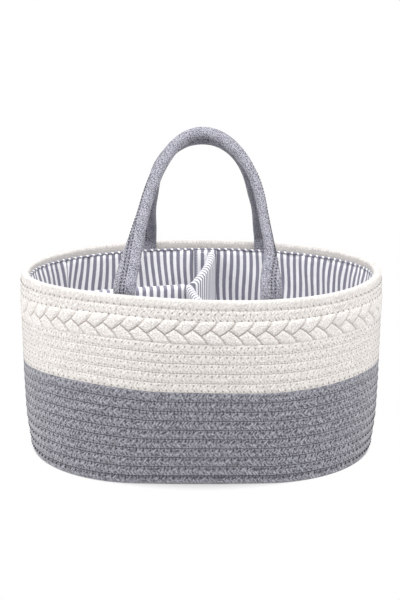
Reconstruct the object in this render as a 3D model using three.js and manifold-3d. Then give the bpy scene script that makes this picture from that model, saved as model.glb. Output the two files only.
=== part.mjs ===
// Diaper caddy: an oval basket of coiled, stitched cotton rope with a striped lining,
// two soft handles that lean in until they meet, and a lift-out divider with three padded leaves.
// Millimetres, +Z up, +X along the basket, the front at -Y, origin under the middle of the base.

import * as THREE from 'three';
import { mergeVertices } from 'three/addons/utils/BufferGeometryUtils.js';
import Module from 'manifold-3d';

// Basket, measured over the rope
const RIM_LENGTH = 375;
const RIM_WIDTH = 244;
const BASE_STRAIGHT = 57; // half of the straight run in each long side at the floor; the rim has none
const BASE_TUCK = 4; // how far each side comes in from the rim to the floor
const TUCK_POWER = 3; // the wall comes in mostly near the floor
const MIDDLE_EASE = 0.1; // share of the turn in which a straight run blends across the middle

// Rope
const ROPE_THICKNESS = 10; // through the wall
const ROW_GAP = 0.5; // between neighbouring turns
const ROW_FLAT = 0.55; // upright share of a row's pressed faces
const BASE_THICKNESS = 9.4;
const BASE_ROUNDING = 3.2;
const GREY_ROWS = 9;
const GREY_PITCH = 9.4;
const CREAM_ROWS = 5;
const CREAM_PITCH = 10.2;
const PLAIT_HEIGHT = 24;
const PLAIT_PROUD = 1.5; // how far the plait stands out past the rows
const PLAIT_EDGE = 2.5; // how far its edges fall back behind the rows
const PLAIT_SHOULDER = 0.25; // share of its height that each edge's slope takes
const UPPER_ROW_PITCH = 10.6;
const RIM_PITCH = 11.3;
const BUTT_GAP = 0.6; // where two rope ends meet

// Lining
const CLEARANCE = 0.3; // between pieces that touch
const LINING_EASE = 0.6; // between the rope and the lining
const LINING_SKIN = 0.8; // cloth left over a tab
const FLOOR_THICKNESS = 1.5;
const LINING_DROP = 6.9; // from the rim's top down to the lining's top edge
const BINDING_HEIGHT = 9;

// Handles
const TAB_WIDTH = 21;
const TAB_THICKNESS = 2.2;
const TAB_DEPTH = 70; // how far a tab reaches down inside the rim
const PIVOT_RISE = 8; // fold line of a handle's foot above the rim
const FOLD_CLEARANCE = 0.6; // between a foot's rounded end and its tab
const FOOT_WIDTH = 21;
const FOOT_THICKNESS = 5;
const GRIP_DIAMETER = 12;
const LEG_TAPER = 90; // run in which the flat foot becomes the round grip
const SLEEVE_WALL = 1.2;
const NOSE_ANGLES = [70, 40]; // degrees round the foot's end, from its tip
const NOSE_BORE = 0.4; // least open share of the foot's thickness
const DEPTH_LEAD = 1.5; // the leg thickens this much sooner than it narrows
const CORE_START = 66; // run of the leg below the end of the cord inside
const SHOULDER_RUN = 82; // straight part of a leg, measured in the handle's plane
const SHOULDER_PULL = 40; // how long a leg keeps its direction into the bow
const CROWN_PULL = 30; // how flat the bow is on top
const HANDLE_RUN = 164.5; // of the front handle, from its fold to its crown
const CROWN_DROP = 7.6; // the rear handle's crown is this much lower than the front one's
// Each handle: from the basket's middle plane to its crown, half of the spread of its feet and of its
// shoulders, and how far the middle of its feet and its crown are off centre
const FRONT_HANDLE = { front: true, meet: 4, foot: 71, shoulder: 57, middle: -3.5, crown: 1.5 };
const REAR_HANDLE = { front: false, meet: 5.7, foot: 61.5, shoulder: 51.5, middle: 4.4, crown: 1 };

// Divider
const SPINE_X = -12.4;
const SPINE_Y = -10;
const LEAF_ROOT = 5; // from the spine's axis to the edge of each leaf
const LEAF_THICKNESS = 7;
const LEAF_TOP_DROP = 15; // from the rim's top down to the leaves' top edge at the spine
const LEAF_CORNER = 8;
const LEAF_END_GAP = 0.8; // from the foot of a leaf's end to the lining
const BOARD_THICKNESS = 2.4;
const BOARD_MARGIN = 5; // padding round the board's edges
const FLAP_WIDTH = 16;
const FLAP_THICKNESS = 1.2;
const FLAP_BOTTOM = 80;
const FLAP_TOP_DROP = 1.5; // from a leaf's top at the wall down to its flap's top
const STRIP_THICKNESS = 1;
const STRIP_INSET = 4; // the loop strip is this much shorter than the flap at each end
// Each leaf: its direction in degrees, how far its top edge climbs to the wall, and its flap's side
const REAR_LEAF = { name: 'rear', angle: 77.9, climb: 8, flapSide: 1 };
const SIDE_LEAF = { name: 'side', angle: 194.4, climb: 0, flapSide: 1 };
const FRONT_LEAF = { name: 'front', angle: -74.7, climb: 0, flapSide: -1 };

// Facets
const OVAL_STEPS = 32;
const SEAM_STEP = 4; // where the rows start and end, in steps from the right end: at the back
const JOG_STEPS = 2; // a rope climbs to its next row over this many steps
const JOG_LEAD = 0.4; // level part of a step at each end of the climb
const GRIP_SIDES = 10;
const HANDLE_STEPS = 26;
const SPINE_SIDES = 12;
const CORNER_STEPS = 4;
const LEVEL_STEPS = 6;
const LEVEL_POWER = 1.5; // more levels near the floor, where the wall curves
const CUT_MARGIN = 1; // a cut reaches this far past the face it opens

// Finishes
const cloth = (color) => new THREE.MeshStandardMaterial({ color, roughness: 0.95, metalness: 0 });
const GREY_ROPE = cloth(0x85858f);
const CREAM_ROPE = cloth(0xe3deda);
const LINING = cloth(0xc5c5d0);
const HANDLE_FABRIC = cloth(0x93939e);
const CORD = cloth(0xd8d4cc);
const BOARD = cloth(0xbab4a8);
const FASTENER = cloth(0xf0f0f2);

// Levels that follow from the rows
const GREY_TOP = BASE_THICKNESS + GREY_ROWS * GREY_PITCH;
const CREAM_TOP = GREY_TOP + CREAM_ROWS * CREAM_PITCH;
const PLAIT_TOP = CREAM_TOP + PLAIT_HEIGHT;
const UPPER_TOP = PLAIT_TOP + UPPER_ROW_PITCH;
const RIM_TOP = UPPER_TOP + RIM_PITCH;
const FLOOR_BOTTOM = BASE_THICKNESS - ROW_GAP / 2 + CLEARANCE;
const FLOOR_TOP = FLOOR_BOTTOM + FLOOR_THICKNESS;
const LINING_TOP = RIM_TOP - LINING_DROP;
const BINDING_BOTTOM = LINING_TOP - BINDING_HEIGHT;
const LEAF_BOTTOM = FLOOR_TOP + CLEARANCE;
const LEAF_TOP = RIM_TOP - LEAF_TOP_DROP;
const PIVOT_Z = RIM_TOP + PIVOT_RISE;

// Layers inside the rope, measured in from its outer face
const LINING_OUT = ROPE_THICKNESS + LINING_EASE;
const TAB_OUT = LINING_OUT;
const TAB_IN = TAB_OUT + TAB_THICKNESS;
const LINING_IN = TAB_IN + CLEARANCE + LINING_SKIN;
const STRIP_OUT = LINING_IN + CLEARANCE;
const STRIP_IN = STRIP_OUT + STRIP_THICKNESS;
const FLAP_OUT = STRIP_IN + CLEARANCE;
const FLAP_IN = FLAP_OUT + FLAP_THICKNESS;

const { clamp, degToRad, lerp } = THREE.MathUtils;
const wasm = await Module();
wasm.setup();

const caddy = new THREE.Group();

function addPiece(parent, name, geometry, material) {
  const mesh = new THREE.Mesh(geometry, material);
  mesh.name = name;
  parent.add(mesh);
}

// Solids from stacked rings of points

function signedVolume(points, faces) {
  let sum = 0;
  const cross = new THREE.Vector3();
  for (let i = 0; i < faces.length; i += 3) {
    const [a, b, c] = [points[faces[i]], points[faces[i + 1]], points[faces[i + 2]]];
    sum += a.dot(cross.crossVectors(b, c));
  }
  return sum / 6;
}

function closedGeometry(points, faces) {
  if (signedVolume(points, faces) < 0) faces.reverse();
  const geometry = new THREE.BufferGeometry().setFromPoints(points);
  geometry.setIndex(faces);
  geometry.computeVertexNormals();
  return geometry;
}

function wallFaces(faces, start, rings, sides, flip) {
  for (let r = 0; r + 1 < rings; r++) {
    for (let s = 0; s < sides; s++) {
      const next = (s + 1) % sides;
      const [a, b] = [start + r * sides + s, start + r * sides + next];
      const [c, d] = [a + sides, b + sides];
      if (flip) faces.push(a, c, b, b, c, d);
      else faces.push(a, b, c, b, d, c);
    }
  }
}

// A loft with flat ends
function solidLoft(rings) {
  const sides = rings[0].length;
  const faces = [];
  wallFaces(faces, 0, rings.length, sides, false);
  const last = (rings.length - 1) * sides;
  for (let s = 1; s + 1 < sides; s++) {
    faces.push(0, s + 1, s);
    faces.push(last, last + s, last + s + 1);
  }
  return closedGeometry(rings.flat(), faces);
}

// A loft with a bore that is open at both ends
function hollowLoft(outer, inner) {
  const sides = outer[0].length;
  const count = outer.length;
  const bore = count * sides;
  const faces = [];
  wallFaces(faces, 0, count, sides, false);
  wallFaces(faces, bore, count, sides, true);
  const last = (count - 1) * sides;
  for (let s = 0; s < sides; s++) {
    const next = (s + 1) % sides;
    faces.push(s, bore + s, next, next, bore + s, bore + next);
    faces.push(last + s, last + next, bore + last + s);
    faces.push(last + next, bore + last + next, bore + last + s);
  }
  return closedGeometry([...outer.flat(), ...inner.flat()], faces);
}

// Cuts and joins

function toSolid(geometry) {
  const bare = geometry.clone();
  bare.deleteAttribute('normal');
  bare.deleteAttribute('uv');
  const merged = mergeVertices(bare);
  const vertProperties = new Float32Array(merged.attributes.position.array);
  const triVerts = new Uint32Array(merged.index.array);
  return new wasm.Manifold(new wasm.Mesh({ numProp: 3, vertProperties, triVerts }));
}

function toGeometry(solid) {
  const { vertProperties, triVerts } = solid.getMesh();
  const geometry = new THREE.BufferGeometry();
  geometry.setAttribute('position', new THREE.BufferAttribute(new Float32Array(vertProperties), 3));
  geometry.setIndex(Array.from(triVerts));
  geometry.computeVertexNormals();
  return geometry;
}

function boxSolid(low, high) {
  const size = new THREE.Vector3().subVectors(high, low);
  const middle = new THREE.Vector3().addVectors(low, high).multiplyScalar(0.5);
  const box = new THREE.BoxGeometry(size.x, size.y, size.z);
  return toSolid(box.translate(middle.x, middle.y, middle.z));
}

// The basket's oval

const rimCurve = new THREE.EllipseCurve(0, 0, RIM_LENGTH / 2, RIM_WIDTH / 2, 0, 2 * Math.PI);
const stepAngles = Array.from({ length: OVAL_STEPS }, (_, i) => {
  const share = ((i + SEAM_STEP) / OVAL_STEPS) % 1;
  return 2 * Math.PI * rimCurve.getUtoTmapping(share);
});

// One turn round the wall at a height, set in from the rope's outer face
function outline(inset, z) {
  const low = 1 - clamp(z / RIM_TOP, 0, 1);
  const narrower = BASE_TUCK * low ** TUCK_POWER + inset;
  const halfLength = RIM_LENGTH / 2 - narrower;
  const halfWidth = RIM_WIDTH / 2 - narrower;
  const straight = BASE_STRAIGHT * low;
  return stepAngles.map((angle) => {
    const along = Math.cos(angle);
    const run = straight * clamp(along / MIDDLE_EASE, -1, 1);
    return new THREE.Vector3(run + (halfLength - straight) * along, halfWidth * Math.sin(angle), z);
  });
}

function pointOn(ring, step) {
  const whole = Math.floor(step);
  const a = ring[whole % OVAL_STEPS];
  const b = ring[(whole + 1) % OVAL_STEPS];
  return new THREE.Vector3().lerpVectors(a, b, step - whole);
}

// Heights at which the wall's curve is followed
function levels(bottom, top) {
  return Array.from({ length: LEVEL_STEPS + 1 }, (_, i) => {
    return lerp(bottom, top, (i / LEVEL_STEPS) ** LEVEL_POWER);
  });
}

function wallLayer(outerInset, innerInset, heights) {
  return hollowLoft(
    heights.map((z) => outline(outerInset, z)),
    heights.map((z) => outline(innerInset, z)),
  );
}

// The space inside a layer of the wall
function wallPlug(inset, bottom, top) {
  return toSolid(solidLoft(levels(bottom, top).map((z) => outline(inset, z))));
}

// The same, but no wider than the lining's mouth, so that it can be lifted out
function liftPlug(inset, bottom, top) {
  const mouth = (z) => outline(inset, LINING_TOP).map((point) => point.setZ(z));
  return wallPlug(inset, bottom, top).intersect(toSolid(solidLoft([mouth(bottom), mouth(top)])));
}

// Rope rows

function ropeSection(step, z, pitch) {
  const half = (pitch - ROW_GAP) / 2;
  const flat = half * ROW_FLAT;
  const out = pointOn(outline(0, z), step);
  const middle = pointOn(outline(ROPE_THICKNESS / 2, z), step);
  const inside = pointOn(outline(ROPE_THICKNESS, z), step);
  const lift = (point, rise) => point.clone().setZ(z + rise);
  return [
    lift(out, -flat),
    lift(out, flat),
    lift(middle, half),
    lift(inside, flat),
    lift(inside, -flat),
    lift(middle, -half),
  ];
}

// Least distance between the points of turns that lie beside each other
function leastSelfGap(rings, ringsApart) {
  let least = Infinity;
  rings.forEach((ring, r) => {
    for (const other of rings.slice(r + ringsApart)) {
      for (const a of ring) {
        for (const b of other) least = Math.min(least, a.distanceTo(b));
      }
    }
  });
  return least;
}

function addRope(name, rings, material) {
  const gap = leastSelfGap(rings, Math.floor(OVAL_STEPS / 2));
  console.log(`${name}: least gap of the rope to itself ${gap.toFixed(2)} mm`);
  addPiece(caddy, name, solidLoft(rings), material);
}

const rows = [];
for (let i = 0; i < GREY_ROWS; i++) {
  rows.push({ z: BASE_THICKNESS + (i + 0.5) * GREY_PITCH, pitch: GREY_PITCH });
}
for (let i = 0; i < CREAM_ROWS; i++) {
  rows.push({ z: GREY_TOP + (i + 0.5) * CREAM_PITCH, pitch: CREAM_PITCH });
}

// Steps of the climb from one row to the next
const jogStart = OVAL_STEPS - JOG_STEPS;
const climbSteps = [jogStart, jogStart + JOG_LEAD, OVAL_STEPS - 1, OVAL_STEPS - JOG_LEAD];

function climbSection(step, from, to) {
  const share = clamp((step - jogStart - JOG_LEAD) / (JOG_STEPS - 2 * JOG_LEAD), 0, 1);
  return ropeSection(step, lerp(from.z, to.z, share), lerp(from.pitch, to.pitch, share));
}

// One rope through several rows; a rope that carries on from another starts at that one's end
function coilRings(first, last) {
  const rings = [];
  if (first > 0) {
    const stepLength = rimCurve.getLength() / OVAL_STEPS;
    const start = jogStart + BUTT_GAP / stepLength;
    for (const step of [start, ...climbSteps.slice(1)]) {
      rings.push(climbSection(step, rows[first - 1], rows[first]));
    }
  }
  for (let row = first; row <= last; row++) {
    for (let step = 0; step < jogStart; step++) rings.push(ropeSection(step, rows[row].z, rows[row].pitch));
    if (row === last) rings.push(ropeSection(jogStart, rows[row].z, rows[row].pitch));
    else climbSteps.forEach((step) => rings.push(climbSection(step, rows[row], rows[row + 1])));
  }
  return rings;
}

// A single row whose ends meet at the back
function rowRings(z, pitch) {
  const stepLength = rimCurve.getLength() / OVAL_STEPS;
  const rings = [];
  for (let step = 0; step < OVAL_STEPS; step++) rings.push(ropeSection(step, z, pitch));
  rings.push(ropeSection(OVAL_STEPS - BUTT_GAP / stepLength, z, pitch));
  return rings;
}

function addRopeWork() {
  const baseTop = BASE_THICKNESS - ROW_GAP / 2;
  const base = solidLoft([
    outline(BASE_ROUNDING, 0),
    outline(0, BASE_ROUNDING),
    outline(0, baseTop - BASE_ROUNDING),
    outline(BASE_ROUNDING, baseTop),
  ]);
  addPiece(caddy, 'base', base, GREY_ROPE);
  addRope('grey_wall_coil', coilRings(0, GREY_ROWS - 1), GREY_ROPE);
  addRope('cream_wall_coil', coilRings(GREY_ROWS, GREY_ROWS + CREAM_ROWS - 1), CREAM_ROPE);

  const bandLow = CREAM_TOP + ROW_GAP / 2;
  const bandHigh = PLAIT_TOP - ROW_GAP / 2;
  const bandShares = [0, PLAIT_SHOULDER, 1 - PLAIT_SHOULDER, 1];
  const bandHeights = bandShares.map((share) => lerp(bandLow, bandHigh, share));
  const bandInsets = [PLAIT_EDGE, -PLAIT_PROUD, -PLAIT_PROUD, PLAIT_EDGE];
  const band = hollowLoft(
    bandHeights.map((z, i) => outline(bandInsets[i], z)),
    bandHeights.map((z) => outline(ROPE_THICKNESS, z)),
  );
  addPiece(caddy, 'plait_band', band, CREAM_ROPE);
  addRope('upper_row', rowRings(PLAIT_TOP + UPPER_ROW_PITCH / 2, UPPER_ROW_PITCH), CREAM_ROPE);
  addRope('rim_rope', rowRings(UPPER_TOP + RIM_PITCH / 2, RIM_PITCH), CREAM_ROPE);
}

// Handles: sewn tabs inside the rim, then a sleeve that folds on them, with a cord in its bow

function sideOf(handle) {
  return handle.front ? -1 : 1;
}

function handleFeet(handle) {
  return [handle.middle - handle.foot, handle.middle + handle.foot];
}

function tabSolid(handle, footX, grow) {
  const width = TAB_WIDTH / 2 + grow;
  const top = PIVOT_Z - FOOT_THICKNESS / 2 - FOLD_CLEARANCE + grow;
  const bottom = RIM_TOP - TAB_DEPTH - grow;
  const layer = toSolid(wallLayer(TAB_OUT - grow, TAB_IN + grow, levels(bottom, top)));
  const near = handle.front ? -RIM_WIDTH : 0;
  const low = new THREE.Vector3(footX - width, near, bottom - CUT_MARGIN);
  const high = new THREE.Vector3(footX + width, near + RIM_WIDTH, top + CUT_MARGIN);
  return layer.intersect(boxSolid(low, high));
}

// The fold line lies in the middle of the tabs
function pivotY(handle) {
  const ring = outline((TAB_OUT + TAB_IN) / 2, RIM_TOP);
  const crossings = handleFeet(handle).map((x) => wallY(ring, x, sideOf(handle)));
  return (crossings[0] + crossings[1]) / 2;
}

// A handle at rest leans in until its crown is beside the other one
function reachIn(handle) {
  return Math.abs(pivotY(handle)) - handle.meet;
}

function crownRise(handle) {
  const frontRise = Math.sqrt(HANDLE_RUN ** 2 - reachIn(FRONT_HANDLE) ** 2);
  return handle.front ? frontRise : frontRise - CROWN_DROP;
}

function wallY(ring, x, side) {
  for (let step = 0; step < OVAL_STEPS; step++) {
    const a = ring[step];
    const b = ring[(step + 1) % OVAL_STEPS];
    const onSide = side * (a.y + b.y) > 0;
    if (onSide && (a.x - x) * (b.x - x) <= 0) return lerp(a.y, b.y, (x - a.x) / (b.x - a.x));
  }
  throw new Error('no wall beside a handle');
}

// Centre line in the handle's own plane, from the left foot over the bow to the right foot
function handlePath(handle) {
  const path = new THREE.CurvePath();
  const run = Math.hypot(reachIn(handle), crownRise(handle));
  const crown = new THREE.Vector3(handle.crown, 0, run);
  const half = (mirror) => {
    const foot = new THREE.Vector3(handle.middle + mirror * handle.foot, 0, 0);
    const shoulder = new THREE.Vector3(handle.crown + mirror * handle.shoulder, 0, SHOULDER_RUN);
    const ahead = new THREE.Vector3().subVectors(shoulder, foot).setLength(SHOULDER_PULL).add(shoulder);
    const beside = crown.clone().add(new THREE.Vector3(mirror * CROWN_PULL, 0, 0));
    return [foot, shoulder, ahead, beside];
  };
  const left = half(-1);
  const right = half(1);
  path.add(new THREE.LineCurve3(left[0], left[1]));
  path.add(new THREE.CubicBezierCurve3(left[1], left[2], left[3], crown));
  path.add(new THREE.CubicBezierCurve3(crown, right[3], right[2], right[1]));
  path.add(new THREE.LineCurve3(right[1], right[0]));
  return path;
}

function sleeveSize(run) {
  const share = clamp(run / LEG_TAPER, 0, 1);
  return {
    width: lerp(FOOT_WIDTH, GRIP_DIAMETER, share),
    depth: lerp(FOOT_THICKNESS, GRIP_DIAMETER, clamp(share * DEPTH_LEAD, 0, 1)),
  };
}

function flatRing(centre, across, width, depth) {
  return Array.from({ length: GRIP_SIDES }, (_, i) => {
    const angle = (2 * Math.PI * (i + 0.5)) / GRIP_SIDES;
    const point = centre.clone().addScaledVector(across, (Math.cos(angle) * width) / 2);
    return point.setY(point.y + (Math.sin(angle) * depth) / 2);
  });
}

// Places along the centre line, with the run from the nearer foot and the direction across the handle
function handleStations(handle) {
  const path = handlePath(handle);
  const length = path.getLength();
  return Array.from({ length: HANDLE_STEPS + 1 }, (_, i) => {
    const share = i / HANDLE_STEPS;
    const tangent = path.getTangentAt(share);
    return {
      centre: path.getPointAt(share),
      run: length * Math.min(share, 1 - share),
      across: new THREE.Vector3(tangent.z, 0, -tangent.x),
    };
  });
}

function sleeveRings(handle) {
  const stations = handleStations(handle);
  const outer = [];
  const inner = [];
  const push = (centre, across, width, depth) => {
    outer.push(flatRing(centre, across, width, depth));
    const open = Math.max(depth - 2 * SLEEVE_WALL, depth * NOSE_BORE);
    inner.push(flatRing(centre, across, width - 2 * SLEEVE_WALL, open));
  };
  // The foot's end is rounded about the fold line
  const radius = FOOT_THICKNESS / 2;
  const addNose = (foot, across, angle) => {
    const centre = foot.centre.clone().setZ(-radius * Math.sin(angle));
    push(centre, across, FOOT_WIDTH, FOOT_THICKNESS * Math.cos(angle));
  };
  const noseAngles = NOSE_ANGLES.map(degToRad);
  const [first, last] = [stations[0], stations[HANDLE_STEPS]];
  first.across.set(1, 0, 0);
  last.across.set(-1, 0, 0);
  noseAngles.forEach((angle) => addNose(first, first.across, angle));
  for (const { centre, across, run } of stations) {
    const { width, depth } = sleeveSize(run);
    push(centre, across, width, depth);
  }
  noseAngles.reverse().forEach((angle) => addNose(last, last.across, angle));
  return { outer, inner };
}

function coreRings(handle) {
  const diameter = GRIP_DIAMETER - 2 * SLEEVE_WALL - 2 * CLEARANCE;
  const inBow = handleStations(handle).filter((station) => station.run > CORE_START);
  return inBow.map(({ centre, across }) => flatRing(centre, across, diameter, diameter));
}

function addHandle(name, handle) {
  const group = new THREE.Group();
  group.position.set(0, pivotY(handle), PIVOT_Z);
  group.rotation.x = sideOf(handle) * Math.atan2(reachIn(handle), crownRise(handle));
  caddy.add(group);
  const { outer, inner } = sleeveRings(handle);
  addPiece(group, `${name}_handle_sleeve`, hollowLoft(outer, inner), HANDLE_FABRIC);
  addPiece(group, `${name}_handle_core`, solidLoft(coreRings(handle)), CORD);
  const [left, right] = handleFeet(handle).map((x) => toGeometry(tabSolid(handle, x, 0)));
  addPiece(caddy, `${name}_left_tab`, left, HANDLE_FABRIC);
  addPiece(caddy, `${name}_right_tab`, right, HANDLE_FABRIC);
}

// Lining, with a pocket behind it for each tab

// The wall's cloth is two panels with a seam at each end of the basket
function sideHalf(side) {
  const edges = [(side * CLEARANCE) / 2, side * RIM_WIDTH];
  const low = new THREE.Vector3(-RIM_LENGTH, Math.min(...edges), 0);
  const high = new THREE.Vector3(RIM_LENGTH, Math.max(...edges), RIM_TOP);
  return boxSolid(low, high);
}

function addLining() {
  const floor = solidLoft([outline(LINING_OUT, FLOOR_BOTTOM), outline(LINING_OUT, FLOOR_TOP)]);
  addPiece(caddy, 'lining_floor', floor, LINING);
  const wallHeights = levels(FLOOR_TOP + CLEARANCE, BINDING_BOTTOM - CLEARANCE);
  let wall = toSolid(wallLayer(LINING_OUT, LINING_IN, wallHeights));
  let binding = toSolid(wallLayer(LINING_OUT, LINING_IN, [BINDING_BOTTOM, LINING_TOP]));
  for (const handle of [FRONT_HANDLE, REAR_HANDLE]) {
    for (const x of handleFeet(handle)) {
      const pocket = tabSolid(handle, x, CLEARANCE);
      wall = wall.subtract(pocket);
      binding = binding.subtract(pocket);
    }
  }
  addPiece(caddy, 'lining_front_panel', toGeometry(wall.intersect(sideHalf(-1))), LINING);
  addPiece(caddy, 'lining_rear_panel', toGeometry(wall.intersect(sideHalf(1))), LINING);
  addPiece(caddy, 'lining_binding', toGeometry(binding), LINING);
}

// Divider: each leaf lies along +X of its own frame, which is turned about the spine

function leafFrame(leaf) {
  const turn = new THREE.Matrix4().makeRotationZ(degToRad(leaf.angle));
  return turn.setPosition(SPINE_X, SPINE_Y, 0);
}

// How far a leaf can reach before its middle or either face meets a turn round the wall
function reachTo(ring, leaf) {
  const toLeaf = leafFrame(leaf).invert();
  const local = ring.map((point) => point.applyMatrix4(toLeaf));
  let least = Infinity;
  for (const side of [-LEAF_THICKNESS / 2, 0, LEAF_THICKNESS / 2]) {
    local.forEach((a, i) => {
      const b = local[(i + 1) % OVAL_STEPS];
      if ((a.y - side) * (b.y - side) > 0) return;
      const x = lerp(a.x, b.x, (side - a.y) / (b.y - a.y));
      if (x > 0) least = Math.min(least, x);
    });
  }
  return least;
}

// A leaf's end stands clear of the lining at its foot, and of its own flap higher up
function leafLength(leaf) {
  const flapInset = FLAP_IN + CLEARANCE;
  return Math.min(
    reachTo(outline(LINING_IN + LEAF_END_GAP, LEAF_BOTTOM), leaf),
    reachTo(outline(flapInset, FLAP_BOTTOM), leaf),
    reachTo(outline(flapInset, LINING_TOP), leaf),
  );
}

// Side view of a leaf or its board: the top edge climbs to a rounded corner at the wall
function panelGeometry(start, end, bottom, top, climb, thickness) {
  const cornerX = end - LEAF_CORNER;
  const cornerZ = top + climb - LEAF_CORNER;
  const shape = new THREE.Shape();
  shape.moveTo(start, bottom);
  shape.lineTo(end, bottom);
  shape.lineTo(end, cornerZ);
  shape.absarc(cornerX, cornerZ, LEAF_CORNER, 0, Math.PI / 2, false);
  shape.lineTo(start, top);
  const options = { depth: thickness, bevelEnabled: false, curveSegments: CORNER_STEPS };
  const geometry = new THREE.ExtrudeGeometry(shape, options);
  geometry.translate(0, 0, -thickness / 2);
  return geometry.rotateX(Math.PI / 2);
}

// A leaf's cover thins to a rounded edge on top and at its end
function coverSolid(leaf, length) {
  const layer = (inset, thickness) => toSolid(
    panelGeometry(LEAF_ROOT, length - inset, LEAF_BOTTOM, LEAF_TOP - inset, leaf.climb, thickness),
  );
  return layer(LEAF_THICKNESS / 4, LEAF_THICKNESS).add(layer(0, LEAF_THICKNESS / 2));
}

function boardGeometry(leaf, length, grow) {
  return panelGeometry(
    LEAF_ROOT + BOARD_MARGIN - grow,
    length - BOARD_MARGIN + grow,
    LEAF_BOTTOM - (grow > 0 ? CUT_MARGIN : 0),
    LEAF_TOP - BOARD_MARGIN + grow,
    leaf.climb,
    BOARD_THICKNESS + 2 * grow,
  );
}

// Part of a solid beside a leaf's end, in the leaf's own frame
function endPatch(leaf, solid, x, sides, heights) {
  const low = new THREE.Vector3(x, Math.min(...sides), heights[0]);
  const high = new THREE.Vector3(x + RIM_LENGTH, Math.max(...sides), heights[1]);
  const toLeaf = leafFrame(leaf).invert();
  return solid.transform(toLeaf.elements).intersect(boxSolid(low, high));
}

function addLeaf(leaf) {
  const length = leafLength(leaf);
  const group = new THREE.Group();
  group.applyMatrix4(leafFrame(leaf));
  caddy.add(group);
  const cover = coverSolid(leaf, length).subtract(toSolid(boardGeometry(leaf, length, CLEARANCE)));
  addPiece(group, `${leaf.name}_leaf_cover`, toGeometry(cover), LINING);
  addPiece(group, `${leaf.name}_leaf_board`, boardGeometry(leaf, length, 0), BOARD);

  const near = -leaf.flapSide * (LEAF_THICKNESS / 2);
  const far = leaf.flapSide * (LEAF_THICKNESS / 2 + FLAP_WIDTH);
  const flapTop = LEAF_TOP + leaf.climb - FLAP_TOP_DROP;
  const span = [FLAP_BOTTOM - CUT_MARGIN, flapTop + CUT_MARGIN];
  const flapHeights = [FLAP_BOTTOM, flapTop];
  const flapSpace = liftPlug(FLAP_OUT, ...span);
  const flapLayer = flapSpace.subtract(liftPlug(FLAP_IN, ...span));
  const heel = endPatch(leaf, flapSpace, length + CLEARANCE, [near, -near], flapHeights);
  const plate = endPatch(leaf, flapLayer, length / 2, [near, far], flapHeights);
  addPiece(group, `${leaf.name}_leaf_flap`, toGeometry(heel.add(plate)), LINING);

  const stripLayer = wallPlug(STRIP_OUT, ...span).subtract(wallPlug(STRIP_IN, ...span));
  const stripHeights = [FLAP_BOTTOM + STRIP_INSET, flapTop - STRIP_INSET];
  const strip = endPatch(leaf, stripLayer, length / 2, [0, far], stripHeights);
  addPiece(group, `${leaf.name}_loop_strip`, toGeometry(strip), FASTENER);
}

function addDivider() {
  const height = LEAF_TOP - LEAF_BOTTOM;
  const radius = LEAF_ROOT - CLEARANCE;
  const spine = new THREE.CylinderGeometry(radius, radius, height, SPINE_SIDES);
  spine.rotateX(Math.PI / 2);
  spine.translate(SPINE_X, SPINE_Y, LEAF_BOTTOM + height / 2);
  addPiece(caddy, 'divider_spine', spine, LINING);
  [REAR_LEAF, SIDE_LEAF, FRONT_LEAF].forEach(addLeaf);
}

addRopeWork();
addLining();
addHandle('front', FRONT_HANDLE);
addHandle('rear', REAR_HANDLE);
addDivider();

export default caddy;
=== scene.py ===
"""Looks of the diaper caddy: rope work, striped lining, soft handles and padded divider, in metres."""

import math

import bmesh
import bpy
import numpy as np
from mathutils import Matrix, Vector


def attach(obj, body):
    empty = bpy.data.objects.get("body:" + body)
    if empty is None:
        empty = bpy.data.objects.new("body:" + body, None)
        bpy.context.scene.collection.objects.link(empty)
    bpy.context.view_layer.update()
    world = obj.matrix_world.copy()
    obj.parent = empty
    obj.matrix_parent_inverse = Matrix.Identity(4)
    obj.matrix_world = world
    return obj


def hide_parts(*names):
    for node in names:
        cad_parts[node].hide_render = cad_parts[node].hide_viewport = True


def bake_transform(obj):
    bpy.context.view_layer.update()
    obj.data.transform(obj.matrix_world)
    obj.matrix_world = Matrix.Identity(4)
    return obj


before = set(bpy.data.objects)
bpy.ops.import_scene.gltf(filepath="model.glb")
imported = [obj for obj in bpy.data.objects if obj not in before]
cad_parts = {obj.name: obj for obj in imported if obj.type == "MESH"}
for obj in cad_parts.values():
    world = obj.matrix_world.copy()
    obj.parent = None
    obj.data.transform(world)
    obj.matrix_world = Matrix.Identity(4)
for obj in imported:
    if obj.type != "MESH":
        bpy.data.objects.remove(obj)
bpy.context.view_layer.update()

# Light: the world's level, and softboxes with their place, size and power; all face the basket
WORLD_LEVEL = 0.16
LAMP_TARGET = (0.0, 0.0, 0.12)
LAMPS = {
    "left_high": ((-1.2, -0.8, 1.3), 0.9, 22.0),
    "right_high": ((1.2, -0.8, 1.3), 0.9, 19.5),
    "left_low": ((-1.6, -0.3, 0.4), 0.8, 5.6),
    "right_low": ((1.6, -0.3, 0.4), 0.8, 4.4),
    "top": ((0.0, -0.5, 1.6), 0.9, 15.0),
    "back": ((0.0, 1.6, 0.9), 0.9, 16.0),
}

# Floor: white, with the basket's shadow kept to an oval that fades out between two shares of its size
FLOOR_REACH = 6.0
SHADOW_OVAL = (0.166, 0.122)
SHADOW_FADE = (0.96, 1.10)
# In the oval the camera sees the floor a darker grey than the light that bounces off it: painted shade round
# the foot, over the real shadow
SHADED_FLOOR = (0.42, 0.42, 0.42, 1.0)
BOUNCING_FLOOR = (0.7, 0.7, 0.7, 1.0)
WHITE = (1.0, 1.0, 1.0, 1.0)

# Camera
CAMERA_PLACE = (0.0, -1.42257, 0.57072)
CAMERA_TILT = math.radians(73.74)
LENS = 85.5
LENS_SHIFT = -0.002
SENSOR = 36.0

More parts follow.
